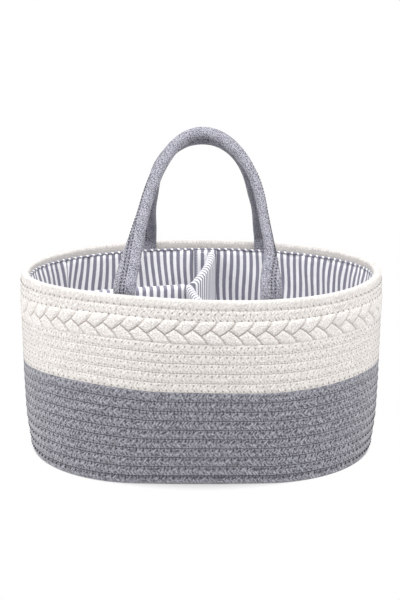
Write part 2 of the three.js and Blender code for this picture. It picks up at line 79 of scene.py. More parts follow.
# Basket, over the rope
RIM_LENGTH = 0.375
RIM_WIDTH = 0.244
BASE_STRAIGHT = 0.057
BASE_TUCK = 0.004
MIDDLE_EASE = 0.1
ROPE_THICKNESS = 0.010
BASE_THICKNESS = 0.0094
GREY_ROWS = 9
GREY_PITCH = 0.0094
CREAM_ROWS = 5
CREAM_PITCH = 0.00996
ROW_PRESS = 0.0006
UPPER_ROW_PITCH = 0.0118
# The base's spiral steps in over a share of each turn, and ends in a straight piece along the middle
BASE_STEP_SHARE = 0.1
BASE_END = BASE_STRAIGHT + 0.011
# The rim's rope is pulled tighter than the rows, and sits lower by the drop
RIM_PITCH = 0.0113
RIM_THICKNESS = 0.0084
RIM_INSET = 0.0006
RIM_DROP = 0.0008
RIM_PRESS = 0.0007
# Shares of a turn: where the rows start and end at the back, their climb, and what leads in to a rope's first
SEAM_SHARE = 4 / 32
CLIMB_SHARE = 2 / 32
LEAD_SHARE = 0.005
# Hand-wound rows lie off level. At each height: the lift in millimetres as a constant, then the cosine
# and sine of one, two, three and four times the angle from the front's middle
ROW_LIFTS = (
    (0.094, (2.1, 2.5, -0.9, -0.3, -1.0, -1.0, -0.8, -0.4, -0.8)),
    (0.157, (0.8, 1.3, -0.3, 0.7, -1.0, 0.0, -1.3, -0.4, -0.8)),
    (0.1905, (-0.9, -0.9, -0.7, 0.3, -1.2, 0.3, -1.0)),
)
# Both ends draw in a little, and more at the foot
END_DRAW = 0.0012
FOOT_TUCK = 0.0026
FOOT_TUCK_TOP = 0.045

# Plait: its lobes round the basket, and how far a crease spreads
PLAIT_HEIGHT = 0.024
PLAIT_THICKNESS = 0.0100
PLAIT_PROUD = 0.0012
PLAIT_LOBES = 55
PLAIT_PHASE = -0.09
PLAIT_PITCH = 0.0179
PLAIT_SPREAD = 0.62 * PLAIT_PITCH
# Width of the painted line of shade and dirt along a crease
CREASE_LINE = 0.0008
# In lobe pitches: how far a cord leans and curls by the plait's edge, and where the first one starts;
# then the share of half the height from which a cord's start is out of sight
PLAIT_LEAN = 0.944
PLAIT_CURL = 0.327
PLAIT_START = 0.269
PLAIT_COVER = 0.27

GREY_TOP = BASE_THICKNESS + GREY_ROWS * GREY_PITCH
CREAM_TOP = GREY_TOP + CREAM_ROWS * CREAM_PITCH
PLAIT_TOP = CREAM_TOP + PLAIT_HEIGHT
UPPER_TOP = PLAIT_TOP + UPPER_ROW_PITCH
RIM_TOP = UPPER_TOP + RIM_PITCH
# Middles of the rows
GREY_LEVELS = [BASE_THICKNESS + (i + 0.5) * GREY_PITCH for i in range(GREY_ROWS)]
CREAM_LEVELS = [GREY_TOP + (i + 0.5) * CREAM_PITCH for i in range(CREAM_ROWS)]
UPPER_LEVEL = PLAIT_TOP + UPPER_ROW_PITCH / 2
RIM_LEVEL = UPPER_TOP + RIM_PITCH / 2

# Sewing: the zigzag in the grooves, and the depth of thread and of the painted groove shade line from the
# rope's outer face
STITCH_PITCH = 0.0068
NEEDLE_REACH = 0.0024
THREAD_INSET = 0.0003
GROOVE_INSET = 0.0011
# Strands of the braided rope
STRAND_LAY = 0.0034
STRAND_SLANT = 0.8
# Threads of the woven cloths
COTTON_THREAD = 0.0007
HANDLE_YARN = 0.0011
# Running stitches
BINDING_STITCH = {"Pitch": 0.0034, "Length": 0.0024, "Thread": 0.0005}
HANDLE_STITCH = {"Pitch": 0.0034, "Length": 0.0022, "Thread": 0.0014}
HEM_STITCH = {"Pitch": 0.003, "Length": 0.0021, "Thread": 0.0006}

# Lining: its face lies this far in from the rope's outer face, and flares out at both ends from the foot up
LINING_FACE = 0.0135
CLOTH = 0.0009
FLOOR_TOP = 0.01095
FLOOR_MIDDLE = FLOOR_TOP - 0.0005
LINING_TOP = RIM_TOP - 0.0069
END_FLARE = 0.0026
END_FLARE_FOOT = 0.165
# Binding of its top edge: the fold, its puckers, the cloth from row to row of its faces, and its seam
BINDING_HEIGHT = 0.0024
BINDING_DEPTH = 0.0024
BINDING_PROUD = 0.0004
BINDING_PUCKER = 0.00025
BINDING_PUCKERS = 70
BINDING_ROW = 0.0005
BINDING_SEAM_Z = LINING_TOP - BINDING_HEIGHT * 0.82
BINDING_SEAM_INSET = 0.0010
PANEL_FOOT = FLOOR_TOP + 0.0004
PANEL_TOP = LINING_TOP - BINDING_HEIGHT * 0.6
# Ripples of the wall's cloth: height, waves in a radian and slant; they grow over these heights
RIPPLES = ((0.0004, 23, 40), (0.0003, 41, -90))
RIPPLE_RISE = (0.02, 0.08)
# Stripes: how many there are, how they lean and spread with the depth below the rim, and how they bow
STRIPE_PERIOD = 0.0074
PANEL_STRIPES = 62
BINDING_STRIPES = 158
STRIPE_LEAN = 0.03
STRIPE_FAN = 0.25
STRIPE_BOW = 0.0010
BOWS_DOWN = 75
BOWS_ALONG = 17
# Each panel is taken in by a dart: its place along the panel, the width of cloth that it draws on,
# how far the stripes turn before and after it, and how deep it runs
DART = 0.845
DART_WIDTH = 0.24
DART_BEFORE = -0.30
DART_AFTER = 0.12
DART_DEPTH = 0.060

# Handles: tabs sewn in behind the rope, then flat straps that taper to a round grip
PIVOT_Z = RIM_TOP + 0.008
TAB_INSET = 0.0115
TAB_FOOT_Z = 0.121
TAB_TOP_Z = RIM_TOP - 0.001
TAB_THICKNESS = 0.0018
STRAP_WIDTH = 0.0215
STRAP_THICKNESS = 0.0024
GRIP = 0.0122
FLANGE_LEAST = 0.0006
FLANGE_FADE = 0.0012
FOOT_DEPTH = 0.0052
LEG_TAPER = 0.090
DEPTH_TAPER = 0.060
# Their line: the run to the shoulder, how far its curve keeps straight at both ends, the step from point to
# point, and how often it is smoothed
SHOULDER_RUN = 0.082
SHOULDER_PULL = 0.040
CROWN_PULL = 0.030
HANDLE_STEP = 0.002
HANDLE_SMOOTHINGS = 8
# Runs from the fold over which a tab swells to a leg, leaves the wall, and turns to the handle's face
TAB_SWELL = (-0.014, 0.006)
TAB_FREE = (-0.012, 0.008)
TAB_TURN = (-0.012, 0.012)
# Where a slim leg is drawn in at its inner edge, and where that ends on the way to the crown
SLIM_RUN = (0.0, 0.035)
SLIM_END = (0.120, 0.160)
# A height above a handle's pivot
FOLD_ABOVE = 0.008
# Seam rows: how far from a leg's inner edge, and the run that each covers
SEAM_ROWS = ((0.0112, -0.006, 0.118), (0.0148, -0.006, 0.070))
SEAM_PROUD = 0.0003
# Pairs are for the left leg and the right
HANDLES = {
    "front": {
        "pivot": -0.100457, "reach": 0.096457, "rise": 0.133256, "side": -1,
        "strap": 0.0215, "taper": (0.085, 0.050), "slim": (0.0, 0.0028),
        "foot": 0.071, "shoulder": (0.057, 0.057), "middle": -0.0035, "crown": 0.0015,
    },
    "rear": {
        "pivot": 0.103096, "reach": 0.097396, "rise": 0.125656, "side": 1,
        "strap": 0.0185, "taper": (0.060, 0.060), "slim": (0.0, 0.0),
        "foot": 0.0615, "shoulder": (0.0515, 0.0528), "middle": 0.0044, "crown": 0.001,
    },
}

# Divider: the spine's place, its cloth's folds, the cloth in a radian round it, and the top part that narrows
SPINE = np.array([-0.0124, -0.010])
SPINE_RADIUS = 0.0027
SPINE_LOBE = 0.0016
SPINE_GATHER = 0.0001
SPINE_GATHERS = 900
SPINE_WRAP = 0.004
SPINE_NARROWING = 0.004
# The spine's last rows: how far below the leaves' top, and the share of its width that is left
SPINE_END = ((0.0025, 0.9), (0.0015, 0.7), (0.001, 0.35))
LEAF_BOTTOM = FLOOR_TOP + 0.0003
LEAF_TOP = RIM_TOP - 0.015
LEAF_ROOT = 0.0042
LEAF_THICKNESS = 0.0082
LEAF_CORNER = 0.010
# How far a leaf's face swells and puckers; the puckers' waves, how these wander, and how far they lie from
# the edge
LEAF_SWELL = 0.0007
LEAF_PUCKER = 0.00018
PUCKER_WAVES = 410
PUCKER_WANDER = (3, 60)
PUCKER_START = 0.004
PUCKER_END = 0.02
# A pad's points: shares of the rolled edge, and the step on the face
EDGE_SHARES = (0, 0.06, 0.22, 0.46, 0.74, 1.0)
PAD_STEP = 0.004
# Flaps on the wall, their hems, and the loop strips under them
FLAP_WIDTH = 0.016
FLAP_BOTTOM = 0.080
FLAP_TOP_DROP = 0.0015
FLAP_INSET = 0.0160
FLAP_THICKNESS = 0.0011
HEM = 0.0028
HEM_PROUD = 0.0006
STRIP_INSET = 0.0147
STRIP_THICKNESS = 0.0009
STRIP_MARGIN = 0.004
# Direction in degrees, climb of the top edge, the flap's side, offset at the spine and bow
LEAVES = {
    "rear": {"turn": 77.9, "climb": 0.008, "flap_side": 1, "set_over": -0.0026, "bow": -0.004},
    "side": {"turn": 194.4, "climb": 0.0, "flap_side": 1, "set_over": 0.0, "bow": 0.0},
    "front": {"turn": -74.7, "climb": 0.0, "flap_side": -1, "set_over": -0.0006, "bow": -0.0036},
}


# Node helpers


class Term:
    """A value in a node tree; arithmetic with it adds math nodes."""

    def __init__(self, tree, socket):
        self.tree = tree
        self.socket = socket

    def calc(self, operation, *others, clamp=False):
        return calc(self.tree, operation, self, *others, clamp=clamp)

    def clamped(self):
        """The value held between 0 and 1."""
        return self.calc("ADD", 0.0, clamp=True)

    def __add__(self, other):
        return self.calc("ADD", other)

    def __sub__(self, other):
        return self.calc("SUBTRACT", other)

    def __rsub__(self, other):
        return calc(self.tree, "SUBTRACT", other, self)

    def __mul__(self, other):
        return self.calc("MULTIPLY", other)

    def __truediv__(self, other):
        return self.calc("DIVIDE", other)

    def __rtruediv__(self, other):
        return calc(self.tree, "DIVIDE", other, self)

    def __neg__(self):
        return self * -1.0

    def __abs__(self):
        return self.calc("ABSOLUTE")


def add_node(tree, kind, inputs=None, **settings):
    """Adds a node, sets its options, and links or sets its inputs."""
    made = tree.nodes.new(kind)
    for key, value in settings.items():
        setattr(made, key, value)
    for key, value in (inputs or {}).items():
        if isinstance(value, Term):
            tree.links.new(value.socket, made.inputs[key])
        else:
            made.inputs[key].default_value = value
    return made


def put(tree, kind, inputs=None, output=0, **settings):
    """Adds a node and gives one of its outputs."""
    return Term(tree, add_node(tree, kind, inputs, **settings).outputs[output])


def put_all(tree, kind, inputs=None, **settings):
    """Adds a node and gives all of its outputs by name."""
    made = add_node(tree, kind, inputs, **settings)
    return {socket.name: Term(tree, socket) for socket in made.outputs}


def calc(tree, operation, *values, clamp=False):
    return put(tree, "ShaderNodeMath", dict(enumerate(values)), operation=operation, use_clamp=clamp)


def split(vector):
    return tuple(put_all(vector.tree, "ShaderNodeSeparateXYZ", {0: vector}).values())


def join(tree, x=0.0, y=0.0, z=0.0):
    return put(tree, "ShaderNodeCombineXYZ", {0: x, 1: y, 2: z})


def scaled(vector, factor):
    return put(vector.tree, "ShaderNodeVectorMath", {0: vector, "Scale": factor}, operation="SCALE")


def new_group(kind, name, inputs, outputs):
    """An empty node group; a number is a size's usual value, and a word is another kind of input."""
    tree = bpy.data.node_groups.new(name, kind)
    for label, value in inputs.items():
        sort = value if isinstance(value, str) else "Float"
        socket = tree.interface.new_socket(label, in_out="INPUT", socket_type=f"NodeSocket{sort}")
        if sort == "Float":
            socket.default_value = value
    for label, sort in outputs.items():
        tree.interface.new_socket(label, in_out="OUTPUT", socket_type=f"NodeSocket{sort}")
    return tree, put_all(tree, "NodeGroupInput")


def srgb(red, green, blue):
    """A colour as it is seen on screen, 0 to 255, as the linear value that nodes take."""
    def linear(value):
        share = value / 255
        return share / 12.92 if share <= 0.04045 else ((share + 0.055) / 1.055) ** 2.4
    return (linear(red), linear(green), linear(blue), 1.0)


def plait_field(turn, level):
    """Where a place on the plait lies, in lobe pitches: from the nearest crease, and from its cord's start.

    Cords rise to the top edge in the upper half and fall to the bottom edge in the lower half, and each
    comes up from under the long side of the one before.
    """
    slope = level * PLAIT_LEAN
    curl = level * level * PLAIT_CURL + turn
    rising = (curl - slope - (PLAIT_START + 0.5)).calc("FRACT")
    falling = (curl + slope - PLAIT_START).calc("FRACT")
    upper = falling.calc("LESS_THAN", (level * (2 * PLAIT_LEAN) + 0.5).clamped())

    def lobe(side, start, height):
        # A start that another cord covers is put out of reach
        covered = ((height - PLAIT_COVER) * 40.0).clamped()
        return side.calc("MINIMUM", 1.0 - side), covered * 3.0 + start

    def choose(low, high):
        return (high - low) * upper + low

    low_side, low_start = lobe(falling, rising, -level)
    high_side, high_start = lobe(rising, falling, level)
    start = choose(low_start, high_start)
    return choose(low_side, high_side).calc("MINIMUM", start), start


# Shader groups that several finishes share


def noise(place, scale, detail, roughness=0.5):
    inputs = {"Vector": place, "Scale": scale, "Detail": detail, "Roughness": roughness}
    return put(place.tree, "ShaderNodeTexNoise", inputs)


def heather_group():
    """Mixed pale and dark fibres: fine streaks along the yarn over broader clouds."""
    tree, given = new_group(
        "ShaderNodeTree", "heathered_yarn",
        {"Vector": "Vector", "Fibre": 900.0, "Stretch": 0.35, "Contrast": 1.0},
        {"Mix": "Float", "Height": "Float"})
    x, y, z = split(given["Vector"])
    streaked = join(tree, x * given["Stretch"], y, z)
    fine = noise(streaked, scale=given["Fibre"], detail=2.0, roughness=0.6)
    broad = noise(given["Vector"], scale=given["Fibre"] * 0.09, detail=1.0)
    # 0.56 is the two noises' own mean
    centred = broad * 0.12 + fine - 0.56
    mix = (centred * (given["Contrast"] * 3.2) + 0.5).clamped()
    add_node(tree, "NodeGroupOutput", {"Mix": mix, "Height": fine})
    return tree


def weave_group():
    """Plain weave: threads that pass over and under each other by turns."""
    tree, given = new_group(
        "ShaderNodeTree", "plain_weave",
        {"Vector": "Vector", "Thread": COTTON_THREAD}, {"Height": "Float", "Gap": "Float"})
    x, y, _ = split(given["Vector"])
    turn = math.pi / given["Thread"]
    warp = (x * turn).calc("SINE")
    weft = (y * turn).calc("SINE")
    ridge = (abs(warp) + abs(weft)) * 0.5
    add_node(tree, "NodeGroupOutput", {"Height": warp * weft * 0.4 + ridge, "Gap": (1.0 - ridge).clamped()})
    return tree


def ticking_group():
    """Woven stripes, with edges that wander by a thread."""
    tree, given = new_group(
        "ShaderNodeTree", "ticking_stripes",
        {"Vector": "Vector", "Period": STRIPE_PERIOD, "Share": 0.47}, {"Stripe": "Float"})
    wander = (noise(given["Vector"], scale=260.0, detail=2.0) - 0.5) * 0.07
    turn = split(given["Vector"])[0] / given["Period"] + wander
    from_middle = abs(turn.calc("FRACT") - 0.5)
    inside = given["Share"] * 0.5 - from_middle
    add_node(tree, "NodeGroupOutput", {"Stripe": (inside * 16.0 + 0.5).clamped()})
    return tree


HEATHER = heather_group()
WEAVE = weave_group()
TICKING = ticking_group()


# Finishes


def heather(place, fibre, stretch, contrast=1.0):
    inputs = {"Vector": place, "Fibre": fibre, "Stretch": stretch, "Contrast": contrast}
    return put_all(place.tree, "ShaderNodeGroup", inputs, node_tree=HEATHER)


def weave(place, thread):
    return put_all(place.tree, "ShaderNodeGroup", {"Vector": place, "Thread": thread}, node_tree=WEAVE)


def cloth_place(tree, turn):
    """The place on a cloth that is cut at an angle."""
    place = put(tree, "ShaderNodeUVMap")
    return put(tree, "ShaderNodeMapping", {"Vector": place, "Rotation": (0.0, 0.0, math.radians(turn))})


def blend_colours(share, first, second):
    return put(share.tree, "ShaderNodeMix", {0: share, 6: first, 7: second}, output=2, data_type="RGBA")


def new_finish(name, sheen):
    material = bpy.data.materials.new(name)
    material.use_nodes = True
    shader = material.node_tree.nodes["Principled BSDF"]
    for label, value in (("Specular IOR Level", 0.25), ("Sheen Weight", sheen), ("Sheen Roughness", 0.6)):
        shader.inputs[label].default_value = value
    return material, material.node_tree


def dull(height):
    """The roughness of cotton: more on top of the fibres."""
    return height * 0.15 + 0.8


def coat(tree, colour, roughness, height, strength, depth):
    """Gives a finish its colour, roughness and fine relief."""
    relief = put(tree, "ShaderNodeBump", {"Height": height, "Strength": strength, "Distance": depth})
    shader = tree.nodes["Principled BSDF"]
    for label, value in (("Base Color", colour), ("Roughness", roughness), ("Normal", relief)):
        tree.links.new(value.socket, shader.inputs[label])


def rope_finish(name, dark, light, shade, contrast, crease_shade, sheen):
    """Braided cotton: mixed fibres in short strokes, and strands that slant to a V, with painted shade in the
    creases between strands.
    """
    material, tree = new_finish(name, sheen)
    along, up, _ = split(put(tree, "ShaderNodeUVMap"))
    slant = along - abs(up) * STRAND_SLANT
    yarn = heather(join(tree, up, slant), fibre=760.0, stretch=0.4, contrast=contrast)
    strand = abs((slant * (math.pi / STRAND_LAY)).calc("SINE"))
    crease = (1.0 - strand * 1.6).clamped()
    colour = blend_colours(yarn["Mix"], dark, light)
    # Painted shade in the creases between the strands
    colour = blend_colours(crease * crease_shade, colour, shade)
    coat(tree, colour, dull(yarn["Height"]), strand * 0.6 + yarn["Height"], strength=0.5, depth=0.0005)
    return material


def plait_finish(name, dark, light, shade):
    """The plait's cord: mixed fibres, with painted shade and dirt dark in the creases."""
    material, tree = new_finish(name, 0.25)
    place = put(tree, "ShaderNodeUVMap")
    along, up, _ = split(place)
    level = up / (PLAIT_HEIGHT / 2)
    crease, _ = plait_field(along / PLAIT_PITCH, level)
    line = (1.0 - crease * (PLAIT_SPREAD / CREASE_LINE)).clamped()
    # The painted shade and dirt are darkest along the middle, where the cords cross
    strength = abs(level) * -0.6 + 0.9
    yarn = heather(place, fibre=800.0, stretch=0.7, contrast=1.2)
    colour = blend_colours(yarn["Mix"], dark, light)
    colour = blend_colours(line * strength, colour, shade)
    coat(tree, colour, dull(yarn["Height"]), yarn["Height"], strength=0.5, depth=0.0006)
    return material


def ticking_finish(name, turn, share):
    """White cotton with woven grey stripes; the binding's cloth is cut on the bias."""
    material, tree = new_finish(name, 0.15)
    place = cloth_place(tree, turn)
    stripe = put(tree, "ShaderNodeGroup", {"Vector": place, "Share": share}, node_tree=TICKING)
    threads = weave(place, COTTON_THREAD)
    yarn = heather(place, fibre=1500.0, stretch=1.0, contrast=0.7)
    dyed = blend_colours(yarn["Mix"], srgb(112, 111, 127), srgb(155, 154, 169))
    colour = blend_colours(stripe, srgb(252, 252, 254), dyed)
    # Painted shade in the gaps between the threads
    colour = blend_colours(threads["Gap"] * 0.06, colour, srgb(120, 120, 135))
    coat(tree, colour, threads["Gap"] * 0.1 + 0.82, threads["Height"], strength=0.15, depth=0.0003)
    return material


def heathered_finish(name, dark, light):
    """The handles' cloth: plain weave of mixed grey yarns, speckled from close by."""
    material, tree = new_finish(name, 0.2)
    place = cloth_place(tree, 35)
    yarn = heather(place, fibre=1250.0, stretch=0.5, contrast=1.8)
    threads = weave(place, HANDLE_YARN)
    colour = blend_colours(yarn["Mix"], dark, light)
    # Painted shade in the gaps between the threads
    colour = blend_colours(threads["Gap"] * 0.25, colour, srgb(70, 70, 80))
    coat(tree, colour, dull(yarn["Height"]), threads["Height"] + yarn["Height"],
         strength=0.25, depth=0.0003)
    return material


def yarn_finish(name, dark, light, fibre=1500.0):
    """Thread and other small fuzzy pieces, and the dark beads and lines of painted shade, marked by place on
    the piece.
    """
    material, tree = new_finish(name, 0.2)
    yarn = heather(put(tree, "ShaderNodeTexCoord", output="Object"), fibre, stretch=1.0)
    colour = blend_colours(yarn["Mix"], dark, light)
    coat(tree, colour, yarn["Height"] * 0.2 + 0.7, yarn["Height"], strength=0.4, depth=0.0003)
    return material


CREAM_DARK = srgb(184, 179, 175)
CREAM_LIGHT = srgb(231, 227, 224)
CREAM_SHADE = srgb(134, 124, 116)
CREAM_ROPE = rope_finish(
    "cream_cotton_rope", CREAM_DARK, CREAM_LIGHT, CREAM_SHADE, contrast=1.2, crease_shade=0.3, sheen=0.25)
# The rim's rope is the cream rope a little darker, painted shade against the strong light on its top, with
# calmer strokes
RIM_ROPE = rope_finish(
    "rim_cotton_rope", srgb(179, 174, 170), srgb(227, 223, 220), CREAM_SHADE,
    contrast=0.9, crease_shade=0.18, sheen=0.25)
GREY_ROPE = rope_finish(
    "grey_cotton_rope", srgb(54, 54, 63), srgb(163, 163, 173), srgb(40, 40, 48),
    contrast=1.9, crease_shade=0.55, sheen=0.5)
PLAIT_CORD = plait_finish("plaited_cotton_cord", CREAM_DARK, CREAM_LIGHT, srgb(120, 102, 90))
# Dark finishes for the painted shade in needle holes and in the grooves' lines
CREAM_PAINTED_SHADE = yarn_finish("cream_painted_shade", srgb(124, 118, 113), srgb(160, 154, 149))
GREY_PAINTED_SHADE = yarn_finish("grey_painted_shade", srgb(36, 36, 45), srgb(66, 66, 76))
CREAM_THREAD = yarn_finish("cream_thread", srgb(226, 221, 216), srgb(244, 240, 236))
GREY_THREAD = yarn_finish("grey_thread", srgb(132, 132, 142), srgb(184, 184, 194))
SEAM_THREAD = yarn_finish("seam_thread", srgb(22, 22, 29), srgb(46, 46, 54))
WHITE_THREAD = yarn_finish("white_thread", srgb(225, 225, 230), srgb(250, 250, 252))
LOOP_PILE = yarn_finish("loop_pile", srgb(205, 205, 212), srgb(244, 244, 248), fibre=2200.0)
TICKING_CLOTH = ticking_finish("ticking_cotton", turn=0, share=0.515)
# The binding's cloth takes a larger share of dyed stripe than the lining's, which darkens it: painted shade
# over its bias-cut stripes
BIAS_CLOTH = ticking_finish("ticking_on_the_bias", turn=-40, share=0.68)
HANDLE_CLOTH = heathered_finish("heathered_grey_cloth", srgb(72, 72, 83), srgb(178, 178, 188))


# The basket's oval


def ramp(value, start, end):
    """A soft rise from 0 at the start to 1 at the end."""
    share = np.clip((value - start) / (end - start), 0, 1)
    return share * share * (3 - 2 * share)


def between(first, second, share):
    return first + (second - first) * share


def unit(vectors):
    """The same directions at length 1."""
    return vectors / np.linalg.norm(vectors, axis=-1, keepdims=True)


def run_lengths(points):
    """How far along a line each of its points lies."""
    return np.concatenate([[0], np.cumsum(np.linalg.norm(np.diff(points, axis=0), axis=1))])


def outline(angle, inset, z):
    """Points of the wall, set in from the rope's outer face; angle and z are numbers or arrays."""
    low = 1 - np.clip(z / RIM_TOP, 0, 1)
    narrower = BASE_TUCK * low ** 3 + inset
    straight = BASE_STRAIGHT * low
    along = np.cos(angle)
    x = straight * np.clip(along / MIDDLE_EASE, -1, 1) + (RIM_LENGTH / 2 - narrower - straight) * along
    y = (RIM_WIDTH / 2 - narrower) * np.sin(angle)
    return np.stack([x, y, np.zeros_like(x) + z], axis=-1)


def even_angles(inset, z, count, start=0.0, turn=2 * math.pi):
    """Angles of points that lie evenly along the wall, from start through a turn."""
    fine = np.linspace(start, start + turn, 4001)
    lengths = run_lengths(outline(fine, inset, z))
    return np.interp(np.linspace(0, lengths[-1], count + 1), lengths, fine)


SEAM = even_angles(0.0, RIM_TOP, 4000)[int(4000 * SEAM_SHARE)]


def drift(angle, z):
    """How far the rows lie off level at a place on the wall."""
    from_front = angle + math.pi / 2
    total = np.zeros_like(angle)
    foot = BASE_THICKNESS
    lift_below = 0.0
    for height, waves in ROW_LIFTS:
        lift = waves[0]
        for count, (cosine, sine) in enumerate(zip(waves[1::2], waves[2::2]), start=1):
            lift = lift + cosine * np.cos(count * from_front) + sine * np.sin(count * from_front)
        total = total + np.clip((z - foot) / (height - foot), 0, 1) * (lift - lift_below) / 1000
        foot = height
        lift_below = lift
    return total


def tucked(points, angle, z):
    """Points of the rope with both ends drawn in."""
    draw = END_DRAW + FOOT_TUCK * (1 - ramp(z, 0, FOOT_TUCK_TOP))
    points[..., 0] -= np.sign(points[..., 0]) * draw * np.cos(angle) ** 2
    return points


def settled(angle, inset, z):
    """Points of the rope as its rows have settled."""
    points = tucked(outline(angle, inset, z), angle, z)
    points[..., 2] += drift(angle, z)
    return points


def coil_path(levels, inset, lead_in, cut_short, per_turn=500):
    """A rope's middle line up the wall: level round each turn, then a climb to the next.

    It comes up from the row below, and its last turn goes all round unless the next rope takes over.
    """
    share = np.linspace(0, 1, per_turn + 1)[:-1]
    climb = ramp(share, 1 - CLIMB_SHARE, 1)

    def turn(level, low, high, keep):
        angle = even_angles(inset, level, per_turn, SEAM)[:-1]
        return settled(angle, inset, between(low, high, climb))[keep]

    turns = [turn(levels[0], lead_in, levels[0], share > 1 - CLIMB_SHARE - LEAD_SHARE)]
    for level, above in zip(levels, levels[1:]):
        turns.append(turn(level, level, above, share <= 1))
    top = levels[-1]
    turns.append(turn(top, top, top, share <= (1 - CLIMB_SHARE if cut_short else 1)))
    return np.concatenate(turns)


def groove_path(level, inset, per_turn=400):
    """The line of a groove round the wall, up to where its rows climb."""
    angle = even_angles(inset, level, per_turn, SEAM)[:-1]
    keep = np.linspace(0, 1, per_turn + 1)[:-1] < 1 - CLIMB_SHARE
    return settled(angle, inset, level)[keep]


# Geometry Nodes trees


def geometry_tree(name, sizes):
    inputs = {"Path": "Geometry", **sizes, "Finish": "Material"}
    return new_group("GeometryNodeTree", name, inputs, {"Geometry": "Geometry"})


def end_tree(geometry, finish):
    """Every tree ends in plain faces with their finish."""
    tree = geometry.tree
    smooth = put(tree, "GeometryNodeSetShadeSmooth", {"Geometry": geometry})
    plain = put(tree, "GeometryNodeRealizeInstances", {"Geometry": smooth})
    dressed = put(tree, "GeometryNodeSetMaterial", {"Geometry": plain, "Material": finish})
    add_node(tree, "NodeGroupOutput", {"Geometry": dressed})
    return tree


def capture(geometry, kind, label, value):
    """Keeps a value with the geometry as it is here; gives both."""
    tree = geometry.tree
    made = add_node(tree, "GeometryNodeCaptureAttribute")
    made.capture_items.new(kind, label)
    tree.links.new(geometry.socket, made.inputs["Geometry"])
    tree.links.new(value.socket, made.inputs[label])
    return Term(tree, made.outputs["Geometry"]), Term(tree, made.outputs[label])


def even_curve(path, step):
    curve = put(path.tree, "GeometryNodeMeshToCurve", {"Mesh": path})
    return put(path.tree, "GeometryNodeResampleCurve", {"Curve": curve, "Length": step}, mode="LENGTH")


def upright(curve):
    return put(curve.tree, "GeometryNodeSetCurveNormal", {"Curve": curve}, mode="Z_UP")


def swept(curve, section):
    inputs = {"Curve": curve, "Profile Curve": section, "Fill Caps": True}
    return put(curve.tree, "GeometryNodeCurveToMesh", inputs)


def moved(geometry, offset):
    return put(geometry.tree, "GeometryNodeSetPosition", {"Geometry": geometry, "Offset": offset})


def by_turns(tree):
    """0 and 1 by turns, from point to point."""
    return put(tree, "GeometryNodeInputIndex").calc("MODULO", 2.0)


def bead_row(curve, size, direction=None):
    """A bead at every point of a curve, turned to a direction or along the curve."""
    tree = curve.tree
    points = put_all(tree, "GeometryNodeCurveToPoints", {"Curve": curve}, mode="EVALUATED")
    bead = put(tree, "GeometryNodeMeshUVSphere", {"Segments": 6, "Rings": 4, "Radius": 0.5})
    direction = direction or points["Tangent"]
    turn = put(tree, "FunctionNodeAlignRotationToVector", {"Vector": direction}, axis="X")
    return put(tree, "GeometryNodeInstanceOnPoints",
               {"Points": points["Points"], "Instance": bead, "Rotation": turn, "Scale": size})


def rope_section(tree, width, height, fullness, points):
    """A pressed round section, width across the wall and height up it, and the way up its outer face."""
    ring = put(tree, "GeometryNodeCurvePrimitiveCircle", {"Resolution": points, "Radius": 1.0})
    x, y, _ = split(put(tree, "GeometryNodeInputPosition"))

    def pressed(part, size):
        swollen = abs(part).calc("POWER", 2.0 / fullness)
        return part.calc("SIGN") * swollen * (size * 0.5)

    place = join(tree, pressed(x, width), pressed(y, height))
    shaped = put(tree, "GeometryNodeSetPosition", {"Geometry": ring, "Position": place})
    # Up the outer face, and on across the top and bottom
    x, y, _ = split(put(tree, "GeometryNodeInputPosition"))
    up = -y
    inward = width * 0.5 - x
    return capture(shaped, "FLOAT", "Up", inward * up.calc("SIGN") + up)


def map_cloth(geometry, along, up):
    """Keeps the way along a piece and up it, in metres, as its UV map."""
    tree = geometry.tree
    inputs = {"Geometry": geometry, "Name": "UVMap", "Value": join(tree, along, up)}
    return put(tree, "GeometryNodeStoreNamedAttribute", inputs, data_type="FLOAT2", domain="CORNER")


def wound_rope_tree():
    """Rope along a path, pressed flat where rows touch."""
    tree, given = geometry_tree("wound_rope", {
        "Thickness": ROPE_THICKNESS, "Height": GREY_PITCH + ROW_PRESS, "Step": 0.0025, "Fullness": 8.0,
    })
    curve = upright(even_curve(given["Path"], given["Step"]))
    length = put(tree, "GeometryNodeSplineParameter", output="Length")
    curve, along = capture(curve, "FLOAT", "Along", length)
    section, up = rope_section(tree, given["Thickness"], given["Height"], given["Fullness"], 18)
    return end_tree(map_cloth(swept(curve, section), along, up), given["Finish"])


